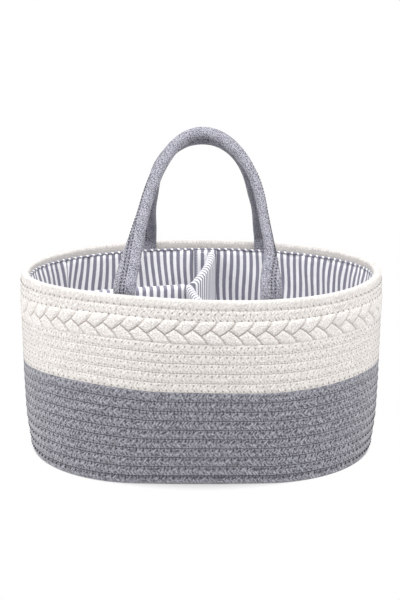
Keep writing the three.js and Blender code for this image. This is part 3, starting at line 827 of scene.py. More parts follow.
def plaited_band_tree():
    """A band of three cords plaited flat and pressed: lobes that lean up and down by turns, round a ring."""
    tree, given = geometry_tree("plaited_band", {
        "Lobes": float(PLAIT_LOBES), "Phase": PLAIT_PHASE, "Thickness": PLAIT_THICKNESS,
        "Height": PLAIT_HEIGHT, "Step": 0.00125, "Crease": 0.0017, "Round": 0.0026, "Dip": 0.0005,
        "Dip Reach": 0.006, "Edge Reach": 0.0045,
    })
    curve = upright(even_curve(given["Path"], given["Step"]))
    factor = put(tree, "GeometryNodeSplineParameter", output="Factor")
    curve, turn = capture(curve, "FLOAT", "Turn", factor * given["Lobes"] + given["Phase"])
    section = put(tree, "GeometryNodeCurvePrimitiveQuadrilateral",
                  {"Width": given["Thickness"], "Height": given["Height"]})
    section = put(tree, "GeometryNodeResampleCurve", {"Curve": section, "Count": 84}, mode="COUNT")
    x, y, _ = split(put(tree, "GeometryNodeInputPosition"))
    section, up = capture(section, "FLOAT", "Up", -y)
    section, out = capture(section, "FLOAT", "Out", x)
    band = swept(curve, section)
    half = given["Height"] * 0.5
    crease, start = plait_field(turn, up / half)

    def hollow(distance, reach, depth):
        left = (1.0 - distance / reach).clamped()
        return left * left * depth

    sink = (hollow(crease * PLAIT_SPREAD, given["Round"], given["Crease"])
            + hollow(start * PLAIT_SPREAD, given["Dip Reach"], given["Dip"])
            + hollow(half - abs(up), given["Edge Reach"], given["Crease"]))
    # The outer face sinks in, and the back stays flat
    back = (out / given["Thickness"] * -6.0 + 2.0).clamped()
    outward = put(tree, "GeometryNodeInputNamedAttribute", {"Name": "outward"}, data_type="FLOAT_VECTOR")
    band = moved(band, scaled(outward, sink * (back - 1.0)))
    return end_tree(map_cloth(band, turn * PLAIT_PITCH, up), given["Finish"])


def zigzag_tree():
    """One thread that crosses a groove from row to row."""
    tree, given = geometry_tree("zigzag_thread", {
        "Pitch": STITCH_PITCH / 2, "Reach": NEEDLE_REACH, "Thread": 0.0009,
    })
    above = by_turns(tree) * 2.0 - 1.0
    curve = moved(even_curve(given["Path"], given["Pitch"]), join(tree, z=above * given["Reach"]))
    ring = put(tree, "GeometryNodeCurvePrimitiveCircle", {"Resolution": 4, "Radius": given["Thread"] * 0.5})
    return end_tree(swept(curve, ring), given["Finish"])


def needle_hole_tree():
    """The holes that the zigzag thread goes into, one at each of its turns, pulled aslant by it: dark beads
    of painted shade.
    """
    tree, given = geometry_tree("needle_holes", {
        "Pitch": STITCH_PITCH / 2, "Reach": NEEDLE_REACH, "Hole": 0.0017, "Stretch": 1.6, "Rise": 1.8,
        "Above": 0.8,
    })
    curve = even_curve(given["Path"], given["Pitch"])
    parity = by_turns(tree)
    above = parity * 2.0 - 1.0
    # A hole below its groove leans to the right, one above it to the left
    lean = scaled(put(tree, "GeometryNodeInputTangent"), -above)
    aslant = put(tree, "ShaderNodeVectorMath", {0: lean, 1: join(tree, z=given["Rise"])}, operation="ADD")
    curve, aslant = capture(curve, "VECTOR", "Aslant", aslant)
    curve, smaller = capture(curve, "FLOAT", "Smaller", (given["Above"] - 1.0) * parity + 1.0)
    curve = moved(curve, join(tree, z=above * given["Reach"]))
    wide = given["Hole"] * smaller
    size = join(tree, wide * given["Stretch"], wide, wide)
    return end_tree(bead_row(curve, size, aslant), given["Finish"])


def stitch_tree():
    """A row of running stitches: one short bead of thread after another along a seam."""
    tree, given = geometry_tree("running_stitch", HANDLE_STITCH)
    size = join(tree, given["Length"], given["Thread"], given["Thread"])
    return end_tree(bead_row(even_curve(given["Path"], given["Pitch"]), size), given["Finish"])


WOUND_ROPE = wound_rope_tree()
PLAITED_BAND = plaited_band_tree()
ZIGZAG = zigzag_tree()
NEEDLE_HOLES = needle_hole_tree()
RUNNING_STITCH = stitch_tree()


# Pieces


def new_piece(name, data):
    piece = bpy.data.objects.new(name, data)
    bpy.context.scene.collection.objects.link(piece)
    return piece


def plain_mesh(piece):
    """Applies a piece's modifiers by taking its evaluated mesh."""
    depsgraph = bpy.context.evaluated_depsgraph_get()
    mesh = bpy.data.meshes.new_from_object(piece.evaluated_get(depsgraph))
    mesh.name = piece.name
    piece.modifiers.clear()
    piece.data = mesh
    return piece


def grown(name, tree, paths, finish, sizes=None, closed=False, outward=None):
    """A piece that a tree makes along one or more paths."""
    edges = []
    start = 0
    for path in paths:
        last = start + len(path) - 1
        edges += [(i, i + 1) for i in range(start, last)]
        if closed:
            edges.append((last, start))
        start = last + 1
    mesh = bpy.data.meshes.new(name)
    mesh.from_pydata(np.concatenate(paths).tolist(), edges, [])
    if outward is not None:
        mesh.attributes.new("outward", "FLOAT_VECTOR", "POINT").data.foreach_set("vector", outward.ravel())
    piece = new_piece(name, mesh)
    modifier = piece.modifiers.new(tree.name, "NODES")
    modifier.node_group = tree
    values = dict(sizes or {}, Finish=finish)
    for item in tree.interface.items_tree:
        if item.in_out == "INPUT" and item.name in values:
            modifier[item.identifier] = values[item.name]
    return plain_mesh(piece)


def cloth_piece(name, points, faces, places, finish):
    """A piece with smooth faces, and for every corner its place on the cloth, in metres, as the UV map."""
    mesh = bpy.data.meshes.new(name)
    mesh.from_pydata(points.reshape(-1, 3).tolist(), [], faces)
    layer = mesh.uv_layers.new(name="UVMap")
    layer.data.foreach_set("uv", np.array(places, dtype=np.float32).ravel())
    mesh.polygons.foreach_set("use_smooth", np.ones(len(mesh.polygons), dtype=bool))
    mesh.materials.append(finish)
    return new_piece(name, mesh)


def sheet_mesh(name, grid, uv, finish, round_columns=False, round_rows=False, capped=False):
    """Faces over a grid of points; a round side has one more UV than points."""
    rows, columns = grid.shape[:2]
    faces, places = [], []
    for r in range(rows if round_rows else rows - 1):
        for c in range(columns if round_columns else columns - 1):
            corners = ((r, c), (r, c + 1), (r + 1, c + 1), (r + 1, c))
            faces.append([row % rows * columns + column % columns for row, column in corners])
            places += [uv[corner] for corner in corners]
    if capped:
        faces.append(list(reversed(range(columns))))
        faces.append(list(range((rows - 1) * columns, rows * columns)))
        places += [uv[0, c] for c in reversed(range(columns))]
        places += [uv[rows - 1, c] for c in range(columns)]
    return cloth_piece(name, grid, faces, places, finish)


def pad_mesh(name, front, back, uv, finish):
    """A closed pad from its two faces, joined where they meet at the edge."""
    rows, columns = front.shape[:2]
    count = rows * columns
    faces, corners = [], []
    for r in range(rows - 1):
        for c in range(columns - 1):
            first = r * columns + c
            ring = (first, first + 1, first + columns + 1, first + columns)
            faces.append(ring)
            faces.append(tuple(count + i for i in reversed(ring)))
            corners += list(ring) + list(reversed(ring))
    pad = cloth_piece(name, np.stack([front, back]), faces, uv.reshape(-1, 2)[corners], finish)
    joined = bmesh.new()
    joined.from_mesh(pad.data)
    bmesh.ops.remove_doubles(joined, verts=joined.verts, dist=1e-6)
    bmesh.ops.recalc_face_normals(joined, faces=joined.faces)
    joined.to_mesh(pad.data)
    joined.free()
    return pad


def thicken(piece, thickness, offset):
    modifier = piece.modifiers.new("thickness", "SOLIDIFY")
    modifier.thickness = thickness
    modifier.offset = offset
    return plain_mesh(piece)


def dress(piece, body, slot, *nodes):
    """Sets what a piece moves with, and the solids that it stands for; its finish's slot is not used."""
    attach(piece, body)
    if nodes:
        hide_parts(*nodes)
    return piece


# Rope work


def base_path():
    """A flat spiral from the edge of the base to its middle; the outer turn goes all round."""
    points = []
    share = np.linspace(0, 1, 241)[:-1]
    step_in = ramp(share, 0, BASE_STEP_SHARE)
    for turn in range(int((RIM_WIDTH / 2 - BASE_TUCK) / GREY_PITCH)):
        inset = ROPE_THICKNESS / 2 + GREY_PITCH * (max(turn - 1, 0) + step_in * min(turn, 1))
        angle = even_angles(float(inset[0]), 0.0, 240, SEAM)[:-1]
        points.append(tucked(outline(angle, inset, 0.0), angle, 0.0))
    points.append(np.stack([np.linspace(BASE_END, -BASE_END, 40), np.zeros(40), np.zeros(40)], axis=1))
    path = np.concatenate(points)
    path[:, 2] = BASE_THICKNESS / 2
    return path


def middles(levels):
    """The grooves' levels between rows."""
    return [(low + high) / 2 for low, high in zip(levels, levels[1:])]


def ring_path(level, inset, count=600):
    """The line of a single row all round the wall."""
    return settled(even_angles(inset, level, count, SEAM), inset, level)


def make_ropes():
    middle = ROPE_THICKNESS / 2
    rim_middle = RIM_INSET + RIM_THICKNESS / 2
    for name, slot, node, finish, path, sizes in (
            ("base_rope", "grey_rope", "base", GREY_ROPE, base_path(),
             {"Thickness": GREY_PITCH, "Height": BASE_THICKNESS, "Fullness": 5.0}),
            ("grey_wall_rope", "grey_rope", "grey_wall_coil", GREY_ROPE,
             coil_path(GREY_LEVELS, middle, BASE_THICKNESS / 2, True), {}),
            ("cream_wall_rope", "cream_rope", "cream_wall_coil", CREAM_ROPE,
             coil_path(CREAM_LEVELS, middle, GREY_LEVELS[-1], False), {"Height": CREAM_PITCH + ROW_PRESS}),
            ("upper_rope", "cream_rope", "upper_row", CREAM_ROPE,
             ring_path(UPPER_LEVEL, middle), {"Height": UPPER_ROW_PITCH + ROW_PRESS / 2}),
            ("top_rope", "cream_rope", "rim_rope", RIM_ROPE,
             ring_path(RIM_LEVEL - RIM_DROP, rim_middle),
             {"Height": RIM_PITCH + RIM_PRESS, "Thickness": RIM_THICKNESS, "Fullness": 4.2})):
        dress(grown(name, WOUND_ROPE, [path], finish, sizes), "basket", slot, node)


def make_plait():
    level = CREAM_TOP + PLAIT_HEIGHT / 2
    inset = PLAIT_THICKNESS / 2 - PLAIT_PROUD
    angle = even_angles(inset, level, 800, SEAM)
    ring = settled(angle, inset, level)
    outward = unit(ring - settled(angle, inset + 0.001, level))
    plait = grown("plaited_cord", PLAITED_BAND, [ring], PLAIT_CORD,
                  {"Height": PLAIT_HEIGHT + ROW_PRESS}, outward=outward)
    dress(plait, "basket", "cream_rope", "plait_band")


def make_sewing(name, grooves, sewn_only, edges, thread, hole, hole_width, line_width):
    """Thread, needle holes and lines of painted shade in a rope's grooves, and needle holes beside its edges;
    the holes' darkness is painted shade too.
    """
    sewn = [groove_path(level, THREAD_INSET) for level in grooves + sewn_only]
    lines = [groove_path(level, GROOVE_INSET) for level in grooves]
    beside = [ring_path(level, THREAD_INSET, count=400) for level in edges]
    for label, tree, paths, finish, sizes in (
            ("sewing", ZIGZAG, sewn, thread, {}),
            ("needle_holes", NEEDLE_HOLES, sewn, hole, {"Hole": hole_width}),
            ("groove_shade", ZIGZAG, lines, hole, {"Reach": 0.0, "Thread": line_width}),
            ("edge_needle_holes", NEEDLE_HOLES, beside, hole,
             {"Pitch": STITCH_PITCH, "Reach": 0.0, "Above": 1.0})):
        dress(grown(f"{name}_{label}", tree, paths, finish, sizes), "basket", f"{name}_rope")


# Lining


def lining_inset(angle, z):
    """How far in from the rope's outer face the lining lies: at both ends it opens out to the rim."""
    return LINING_FACE - END_FLARE * np.cos(angle) ** 4 * ramp(z, END_FLARE_FOOT, LINING_TOP)


def stripe_shift(share, z):
    """How far the stripes stand aside at a place: they lean out to both ends, bow, and turn to the dart."""
    depth = LINING_TOP - z
    before = DART_BEFORE * ramp(share, DART - DART_WIDTH, DART)
    after = DART_AFTER * (1 - ramp(share, DART, DART + DART_WIDTH))
    dart = np.where(share < DART, before, after) * DART_DEPTH * (1 - math.exp(-depth / DART_DEPTH))
    lean = STRIPE_LEAN + STRIPE_FAN * (share - 0.5)
    return lean * depth + dart + STRIPE_BOW * np.sin(BOWS_DOWN * depth + BOWS_ALONG * share)


def make_panel(name, start, columns=260, rows=26):
    """Half of the wall's lining, taut on the wall, with the soft ripple of sewn cloth."""
    heights = np.linspace(PANEL_FOOT, PANEL_TOP, rows)
    grid = np.empty((rows, columns + 1, 3))
    uv = np.empty((rows, columns + 1, 2))
    shares = np.linspace(0, 1, columns + 1)
    for row, z in enumerate(heights):
        angle = even_angles(LINING_FACE, z, columns, start, math.pi)
        ripple = sum(height * np.sin(angle * waves + z * slant) for height, waves, slant in RIPPLES)
        grid[row] = outline(angle, lining_inset(angle, z) + ripple * ramp(z, *RIPPLE_RISE), z)
        uv[row, :, 0] = shares * PANEL_STRIPES * STRIPE_PERIOD + stripe_shift(shares, z)
        uv[row, :, 1] = z
    cloth = sheet_mesh(f"lining_{name}_cloth", grid, uv, TICKING_CLOTH)
    thicken(cloth, CLOTH, 1.0)
    dress(cloth, "basket", "striped_cotton", f"lining_{name}_panel")
    PANEL_TOP - PANEL_FOOT


def make_lining_floor(columns=160, rings=14):
    angle = even_angles(LINING_FACE, FLOOR_TOP, columns)[:-1]
    edge = outline(angle, LINING_FACE, FLOOR_TOP)
    grid = edge[None] * np.linspace(0.02, 1, rings)[:, None, None]
    grid[..., 2] = FLOOR_MIDDLE
    uv = np.concatenate([grid, grid[:, :1]], axis=1)[..., :2]
    floor = sheet_mesh("lining_floor_cloth", grid, uv, TICKING_CLOTH, True)
    thicken(floor, CLOTH, 0.0)
    dress(floor, "basket", "striped_cotton", "lining_floor")


def make_binding(columns=420, rows=14):
    """A strip cut on the bias, folded over the lining's top edge and stitched."""
    angle = even_angles(LINING_FACE, LINING_TOP, columns)[:-1]
    pucker = BINDING_PUCKER * np.sin(angle * BINDING_PUCKERS)
    grid = np.empty((rows, columns, 3))
    uv = np.empty((rows + 1, columns + 1, 2))
    uv[..., 0] = np.linspace(0, BINDING_STRIPES * STRIPE_PERIOD, columns + 1)
    uv[..., 1] = np.arange(rows + 1)[:, None] * BINDING_ROW
    for row, turn in enumerate(np.linspace(-math.pi / 2, 1.5 * math.pi, rows + 1)[:-1]):
        inward = -BINDING_PROUD - BINDING_DEPTH / 2 * math.cos(turn)
        z = LINING_TOP - BINDING_HEIGHT / 2 * (1 - math.sin(turn))
        grid[row] = outline(angle, lining_inset(angle, z) + inward + pucker, z)
    binding = sheet_mesh("lining_binding_cloth", grid, uv, BIAS_CLOTH, True, True)
    dress(binding, "basket", "striped_cotton", "lining_binding")
    angle = even_angles(LINING_FACE, LINING_TOP, 600)[:-1]
    inset = lining_inset(angle, BINDING_SEAM_Z) + BINDING_SEAM_INSET
    seam = outline(angle, inset, BINDING_SEAM_Z)
    stitches = grown("binding_stitches", RUNNING_STITCH, [seam], SEAM_THREAD, BINDING_STITCH, True)
    dress(stitches, "basket", "striped_cotton")


# Handles


def wall_y(x, inset, z, side):
    """Where the wall is, beside a handle's foot."""
    points = outline(np.linspace(0, math.pi, 2001) * side, inset, z)
    order = np.argsort(points[:, 0])
    return np.interp(x, points[order, 0], points[order, 1])


def bezier(a, b, c, d, count):
    t = np.linspace(0, 1, count)[:, None]
    return (1 - t) ** 3 * a + 3 * (1 - t) ** 2 * t * b + 3 * (1 - t) * t ** 2 * c + t ** 3 * d


def handle_plane_line(handle):
    """Centre line in the handle's plane, from the left foot to the right: x and run from the fold."""
    crown = np.array([handle["crown"], math.hypot(handle["reach"], handle["rise"])])
    halves = []
    for mirror, wide in zip((-1, 1), handle["shoulder"]):
        foot = np.array([handle["middle"] + mirror * handle["foot"], 0.0])
        shoulder = np.array([handle["crown"] + mirror * wide, SHOULDER_RUN])
        ahead = shoulder + unit(shoulder - foot) * SHOULDER_PULL
        beside = crown + np.array([mirror * CROWN_PULL, 0.0])
        leg = between(foot, shoulder, np.linspace(0, 1, 30)[:-1, None])
        halves.append(np.concatenate([leg, bezier(shoulder, ahead, beside, crown, 60)]))
    return np.concatenate([halves[0], halves[1][::-1][1:]])


def even_line(points, step):
    lengths = run_lengths(points)
    wanted = np.linspace(0, lengths[-1], max(2, int(round(lengths[-1] / step))) + 1)
    return np.stack([np.interp(wanted, lengths, part) for part in points.T], axis=1)


def handle_stations(handle):
    """Points from tab to tab, their tangents, runs from the fold and lengths, and the way up the handle."""
    lean = math.atan2(handle["reach"], handle["rise"])
    up = np.array([0.0, -handle["side"] * math.sin(lean), math.cos(lean)])
    plane = handle_plane_line(handle)
    bow = np.array([0.0, handle["pivot"], PIVOT_Z]) + plane[:, 1:2] * up
    bow[:, 0] += plane[:, 0]
    tabs = []
    for mirror in (-1, 1):
        x = handle["middle"] + mirror * handle["foot"]
        heights = np.linspace(TAB_FOOT_Z, TAB_TOP_Z, 24)
        tabs.append(np.array([[x, wall_y(x, TAB_INSET, z, handle["side"]), z] for z in heights]))
    line = even_line(np.concatenate([tabs[0], bow, tabs[1][::-1]]), HANDLE_STEP)
    for _ in range(HANDLE_SMOOTHINGS):
        line[1:-1] = 0.5 * line[1:-1] + 0.25 * (line[:-2] + line[2:])
    tangent = unit(np.gradient(line, axis=0))
    lengths = run_lengths(line)
    run = np.minimum(lengths, lengths[-1] - lengths) - (PIVOT_Z - TAB_FOOT_Z)
    return line, tangent, run, lengths, up


def leg_section(run, strap, taper, slim):
    """Places across a leg from its inner edge outwards, its half thickness at them, and its width.

    A leg is a soft roll with a flat seam flange beside it. A slim leg is drawn in at its inner edge.
    """
    narrow = GRIP + FLANGE_LEAST
    width = between(strap, narrow, ramp(run, 0, taper))
    full_width = between(STRAP_WIDTH, narrow, ramp(run, 0, LEG_TAPER))
    swell = ramp(run, *TAB_SWELL)
    deep = between(TAB_THICKNESS, between(FOOT_DEPTH, GRIP, ramp(run, 0, DEPTH_TAPER)), swell)
    flat = between(TAB_THICKNESS, STRAP_THICKNESS, swell)
    middle = GRIP / 2
    bend = np.linspace(0, math.pi, 11)
    places = np.concatenate([middle * (1 - np.cos(bend)), np.linspace(GRIP, width, 5)[1:]])
    dome = deep / 2 * np.sqrt(np.clip(1 - ((places - middle) / middle) ** 2, 0, 1))
    fade = np.clip((width - places) / FLANGE_FADE, 0, 1)
    flange = np.where(places > middle, flat / 2 * np.sqrt(fade), 0.0)
    places = places + (max(full_width - width, 0.0) - width) / 2
    drawn = slim * (ramp(run, *SLIM_RUN) - ramp(run, *SLIM_END))
    places = places[-1] - (places[-1] - places) * (1 - drawn / width)
    return places, np.maximum(dome, flange), width - drawn


def make_handle(name, handle):
    """One handle from tab to tab, with its seam stitches."""
    line, tangent, run, lengths, up = handle_stations(handle)
    outside = np.array([0.0, -up[2], up[1]])
    rings, maps = [], []
    seams = [[] for _ in range(8)]
    for i, centre in enumerate(line):
        face = between(np.array([0.0, -1.0, 0.0]), outside, ramp(run[i], *TAB_TURN))
        face = unit(face - tangent[i] * (face @ tangent[i]))
        across = np.cross(face, tangent[i])
        leg = 0 if i < len(line) / 2 else 1
        places, thick, width = leg_section(run[i], handle["strap"], handle["taper"][leg], handle["slim"][leg])
        middle = centre + places[:, None] * across
        hug = 1 - ramp(run[i], *TAB_FREE)
        if hug > 0:
            level = min(centre[2], RIM_TOP)
            wall = wall_y(middle[:, 0], TAB_INSET, level, handle["side"])
            middle[:, 1] += hug * (wall - wall_y(centre[0], TAB_INSET, level, handle["side"]))
        top = middle + thick[:, None] * face
        bottom = middle - thick[:, None] * face
        rings.append(np.concatenate([top, bottom[-2:0:-1]]))
        girth = places - places[0]
        around = np.concatenate([girth, 2 * width - girth[::-1][1:]])
        maps.append(np.stack([np.full(len(around), lengths[i]), around], axis=1))
        for row, (step, low, high) in enumerate(SEAM_ROWS):
            if low < run[i] < high:
                place = places[0] + min(step, width - FLANGE_LEAST)
                depth = float(np.interp(place, places, thick)) + SEAM_PROUD
                for back, out in enumerate((depth, -depth)):
                    seams[leg * 4 + row * 2 + back].append(centre + place * across + out * face)
    cloth = sheet_mesh(f"{name}_handle_cloth", np.array(rings)[:, ::-1], np.array(maps)[:, ::-1],
                       HANDLE_CLOTH, True, capped=True)
    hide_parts(f"{name}_handle_sleeve", f"{name}_handle_core", f"{name}_left_tab",
                f"{name}_right_tab")
    stitches = grown(f"{name}_handle_stitches", RUNNING_STITCH, [np.array(seam) for seam in seams],
                     SEAM_THREAD, HANDLE_STITCH)
    pivot = np.array([0.0, handle["pivot"], PIVOT_Z])
    for piece in (cloth, stitches):
        tuple(pivot + FOLD_ABOVE * up)
        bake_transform(piece)


# Divider


def leaf_axes(leaf):
    """The ways along a leaf and to its side."""
    angle = math.radians(leaf["turn"])
    return np.array([math.cos(angle), math.sin(angle)]), np.array([-math.sin(angle), math.cos(angle)])


def leaf_length(name, along):
    """How far a leaf reaches from the spine, as the frame has it."""
    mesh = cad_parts[f"{name}_leaf_cover"].data
    points = np.empty(len(mesh.vertices) * 3)
    mesh.vertices.foreach_get("co", points)
    return float(((points.reshape(-1, 3)[:, :2] - SPINE) @ along).max())


def edge_places(total):
    """Places across a pad, close together where its edge turns over."""
    near = LEAF_THICKNESS / 2 * np.array(EDGE_SHARES)
    inner = np.linspace(near[-1], total - near[-1], int(total / PAD_STEP))
    return np.concatenate([near[:-1], inner, total - near[:-1][::-1]])


def make_leaf(name, leaf):
    """A padded leaf: a board in a striped cover, plump, with rolled edges."""
    along, side = leaf_axes(leaf)
    length = leaf_length(name, along) - LEAF_ROOT
    height = LEAF_TOP - LEAF_BOTTOM
    a, b = np.meshgrid(edge_places(length), edge_places(height))
    radius = LEAF_THICKNESS / 2
    inside = np.minimum(np.minimum(a, length - a), np.minimum(b, height - b))
    half = radius * np.sqrt(1 - (1 - np.clip(inside / radius, 0, 1)) ** 2)
    plump = np.clip(np.sin(math.pi * a / length) * np.sin(math.pi * b / height), 0, 1) ** 0.6
    near_edge = np.clip(1 - inside / PUCKER_END, 0, 1) * np.clip(inside / PUCKER_START, 0, 1)
    wander = PUCKER_WANDER[0] * np.sin(b * PUCKER_WANDER[1])
    pucker = np.sin(a * PUCKER_WAVES + wander) * near_edge
    half += LEAF_SWELL * plump + LEAF_PUCKER * pucker
    # The top corner beside the wall is rounded
    over_a = np.clip((a - (length - LEAF_CORNER)) / LEAF_CORNER, 0, 1)
    over_b = np.clip((b - (height - LEAF_CORNER)) / LEAF_CORNER, 0, 1)
    both = np.hypot(over_a, over_b)
    pull = np.where(both > 0, np.maximum(over_a, over_b) / np.maximum(both, 1e-9), 1)
    reach = np.minimum(a, length - LEAF_CORNER) + LEAF_CORNER * over_a * pull + LEAF_ROOT
    rise = np.minimum(b, height - LEAF_CORNER) + LEAF_CORNER * over_b * pull + LEAF_BOTTOM
    rise += leaf["climb"] * (a / length) * ramp(b, 0, height)
    over = leaf["set_over"] * (1 - a / length) + leaf["bow"] * np.sin(math.pi * a / length)
    middle = np.empty(a.shape + (3,))
    middle[..., :2] = SPINE + reach[..., None] * along + over[..., None] * side
    middle[..., 2] = rise
    out = half[..., None] * np.append(side, 0.0)
    uv = np.stack([reach, rise], axis=-1)
    pad = pad_mesh(f"{name}_leaf_pad", middle + out, middle - out, uv, TICKING_CLOTH)
    dress(pad, f"{name}_leaf", "striped_cotton", f"{name}_leaf_cover", f"{name}_leaf_board")


def beside_leaf(leaf, inset, z, steps):
    """Points on the wall beside a leaf's end, at steps along it towards the flap's free edge."""
    along, side = leaf_axes(leaf)
    fine = np.linspace(0, 2 * math.pi, 7201)
    local = outline(fine, inset, z)[:, :2] - SPINE
    beyond = local @ side
    crossing = np.nonzero((beyond[:-1] < 0) & (beyond[1:] >= 0) & (local[:-1] @ along > 0))[0][0]
    near = fine[crossing] + np.linspace(-0.6, 0.6, 2401)
    lengths = run_lengths(outline(near, inset, z))
    lengths -= lengths[len(near) // 2]
    return outline(np.interp(np.asarray(steps) * leaf["flap_side"], lengths, near), inset, z)


def wall_patch(leaf, inset, steps, heights):
    """A patch on the wall beside a leaf, nowhere wider than the mouth that it has to lift through."""
    along = leaf_axes(leaf)[0]
    mouth = beside_leaf(leaf, inset, LINING_TOP, steps)
    rows = []
    for z in heights:
        row = beside_leaf(leaf, inset, z, steps)
        outside = row[:, :2] @ along > mouth[:, :2] @ along
        row[outside, :2] = mouth[outside, :2]
        rows.append(row)
    return np.array(rows)


def patch_uv(steps, heights):
    return np.stack(np.meshgrid(steps, heights), axis=-1)


def make_flap(name, leaf):
    """The leaf's flap on the wall, and the loop strip that it presses on."""
    start = -LEAF_THICKNESS / 2
    end = LEAF_THICKNESS / 2 + FLAP_WIDTH
    top = LEAF_TOP + leaf["climb"] - FLAP_TOP_DROP
    steps = np.linspace(start, end, 12)
    heights = np.linspace(FLAP_BOTTOM, top, 24)
    grid = wall_patch(leaf, FLAP_INSET, steps, heights)
    flap = sheet_mesh(f"{name}_leaf_flap_cloth", grid, patch_uv(steps, heights), TICKING_CLOTH)
    thicken(flap, FLAP_THICKNESS, 0.0)
    dress(flap, f"{name}_leaf", "striped_cotton", f"{name}_leaf_flap")
    seam = wall_patch(leaf, FLAP_INSET + HEM_PROUD, np.linspace(start + HEM, end - HEM, 10),
                      np.linspace(FLAP_BOTTOM + HEM, top - HEM, 24))
    ring = np.concatenate([seam[0], seam[1:, -1], seam[-1, ::-1][1:], seam[::-1, 0][1:-1]])
    stitches = grown(f"{name}_flap_stitches", RUNNING_STITCH, [ring], WHITE_THREAD, HEM_STITCH, True)
    dress(stitches, f"{name}_leaf", "striped_cotton")
    top - FLAP_BOTTOM

    steps = np.linspace(LEAF_THICKNESS / 2 + STRIP_MARGIN, end - STRIP_MARGIN, 8)
    heights = np.linspace(FLAP_BOTTOM + STRIP_MARGIN, top - STRIP_MARGIN, 30)
    grid = np.array([beside_leaf(leaf, STRIP_INSET, z, steps) for z in heights])
    strip = sheet_mesh(f"{name}_loop_pile", grid, patch_uv(steps, heights), LOOP_PILE)
    thicken(strip, STRIP_THICKNESS, 0.0)
    dress(strip, "basket", "touch_fastener", f"{name}_loop_strip")


def make_spine(columns=36):
    """The sewn seam in which the leaves meet: gathered cloth, a lobe to each leaf, drawn in at the top."""
    around = np.linspace(0, 2 * math.pi, columns + 1)
    drops, shares = np.array(SPINE_END).T
    straight = np.linspace(LEAF_BOTTOM, LEAF_TOP - SPINE_NARROWING, 40)
    heights = np.concatenate([straight, LEAF_TOP - drops])
    swell = np.concatenate([np.ones_like(straight), shares])[:, None]
    turns = [math.radians(leaf["turn"]) for leaf in LEAVES.values()]
    lobes = sum(np.clip(np.cos(around - turn), 0, 1) ** 6 for turn in turns)
    gather = SPINE_GATHER * np.sin(heights * SPINE_GATHERS)[:, None]
    radius = swell * (SPINE_RADIUS + SPINE_LOBE * lobes + gather)
    level = np.zeros_like(radius) + heights[:, None]
    grid = np.stack([SPINE[0] + radius * np.cos(around), SPINE[1] + radius * np.sin(around), level], axis=-1)
    uv = np.stack([np.zeros_like(radius) + around * SPINE_WRAP, level], axis=-1)
    spine = sheet_mesh("divider_seam", grid[:, :-1], uv, TICKING_CLOTH, True, capped=True)
    dress(spine, "divider", "striped_cotton", "divider_spine")


# Light, floor and camera


def seen(tree):
    """1 for what the camera sees, straight or in a shine; 0 for light on its way about the scene."""
    path = put_all(tree, "ShaderNodeLightPath")
    in_shine = path["Is Glossy Ray"].calc("MAXIMUM", path["Is Transmission Ray"])
    return path["Is Camera Ray"].calc("MAXIMUM", in_shine)


def make_floor():
    corners = [(x * FLOOR_REACH, y * FLOOR_REACH, 0) for x, y in ((-1, -1), (1, -1), (1, 1), (-1, 1))]
    mesh = bpy.data.meshes.new("floor")
    mesh.from_pydata(corners, [], [(0, 1, 2, 3)])
    material = bpy.data.materials.new("white_floor")
    material.use_nodes = True
    tree = material.node_tree
    tree.nodes.clear()
    by_camera = seen(tree)
    glow = put(tree, "ShaderNodeEmission", {"Color": WHITE, "Strength": 1.0})
    # The camera sees a darker grey than the light that bounces: painted shade round the foot, over the
    # basket's real shadow
    tone = blend_colours(by_camera, BOUNCING_FLOOR, SHADED_FLOOR)
    matt = put(tree, "ShaderNodeBsdfDiffuse", {"Color": tone})
    shares = (1 / SHADOW_OVAL[0], 1 / SHADOW_OVAL[1], 0.0)
    place = put(tree, "ShaderNodeTexCoord", output="Object")
    place = put(tree, "ShaderNodeVectorMath", {0: place, 1: shares}, operation="MULTIPLY")
    away = put(tree, "ShaderNodeVectorMath", {0: place}, output="Value", operation="LENGTH")
    far = ((away - SHADOW_FADE[0]) / (SHADOW_FADE[1] - SHADOW_FADE[0])).clamped()
    mixed = put(tree, "ShaderNodeMixShader", {0: by_camera * far, 1: matt, 2: glow})
    add_node(tree, "ShaderNodeOutputMaterial", {"Surface": mixed})
    mesh.materials.append(material)
    new_piece("floor", mesh)


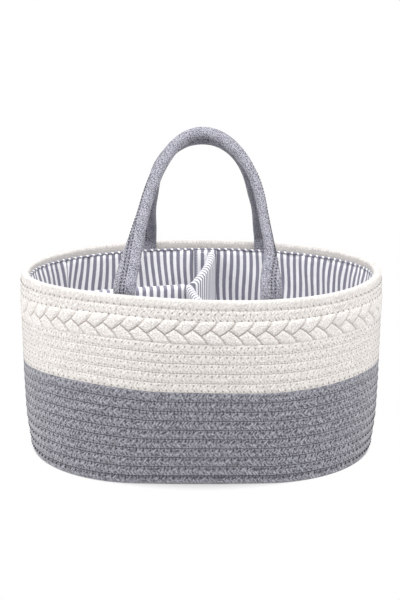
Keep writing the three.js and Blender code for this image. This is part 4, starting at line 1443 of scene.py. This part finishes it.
def make_light():
    world = bpy.data.worlds.new("studio")
    bpy.context.scene.world = world
    world.use_nodes = True
    tree = world.node_tree
    tree.nodes.clear()
    strength = seen(tree) * (1 - WORLD_LEVEL) + WORLD_LEVEL
    sky = put(tree, "ShaderNodeBackground", {"Color": WHITE, "Strength": strength})
    add_node(tree, "ShaderNodeOutputWorld", {"Surface": sky})
    for name, (place, size, power) in LAMPS.items():
        lamp = bpy.data.lights.new(f"{name}_softbox", "AREA")
        lamp.shape = "DISK"
        lamp.size = size
        lamp.energy = power
        holder = new_piece(f"{name}_softbox", lamp)
        holder.location = place
        holder.visible_camera = False
        holder.rotation_euler = (Vector(LAMP_TARGET) - Vector(place)).to_track_quat("-Z", "Y").to_euler()
    bpy.context.scene.view_settings.view_transform = "Standard"


def make_camera():
    camera = bpy.data.cameras.new("photo_camera")
    camera.lens = LENS
    camera.sensor_width = SENSOR
    camera.shift_x = LENS_SHIFT
    holder = new_piece("photo_camera", camera)
    holder.location = CAMERA_PLACE
    holder.rotation_euler = (CAMERA_TILT, 0.0, 0.0)
    bpy.context.scene.camera = holder


make_camera()
make_light()
make_floor()
make_ropes()
make_plait()
make_sewing(
    "grey", middles([BASE_THICKNESS / 2] + GREY_LEVELS), [], [GREY_TOP - NEEDLE_REACH],
    GREY_THREAD, GREY_PAINTED_SHADE, hole_width=0.0020, line_width=0.0024)
make_sewing(
    "cream", middles(CREAM_LEVELS), middles([UPPER_LEVEL, RIM_LEVEL]),
    [GREY_TOP + NEEDLE_REACH, CREAM_TOP - NEEDLE_REACH, PLAIT_TOP + NEEDLE_REACH],
    CREAM_THREAD, CREAM_PAINTED_SHADE, hole_width=0.0017, line_width=0.0021)
make_panel("front", math.pi)
make_panel("rear", 0.0)
make_lining_floor()
make_binding()
for handle_name, handle_sizes in HANDLES.items():
    make_handle(handle_name, handle_sizes)
make_spine()
for leaf_name, leaf_sizes in LEAVES.items():
    make_leaf(leaf_name, leaf_sizes)
    make_flap(leaf_name, leaf_sizes)
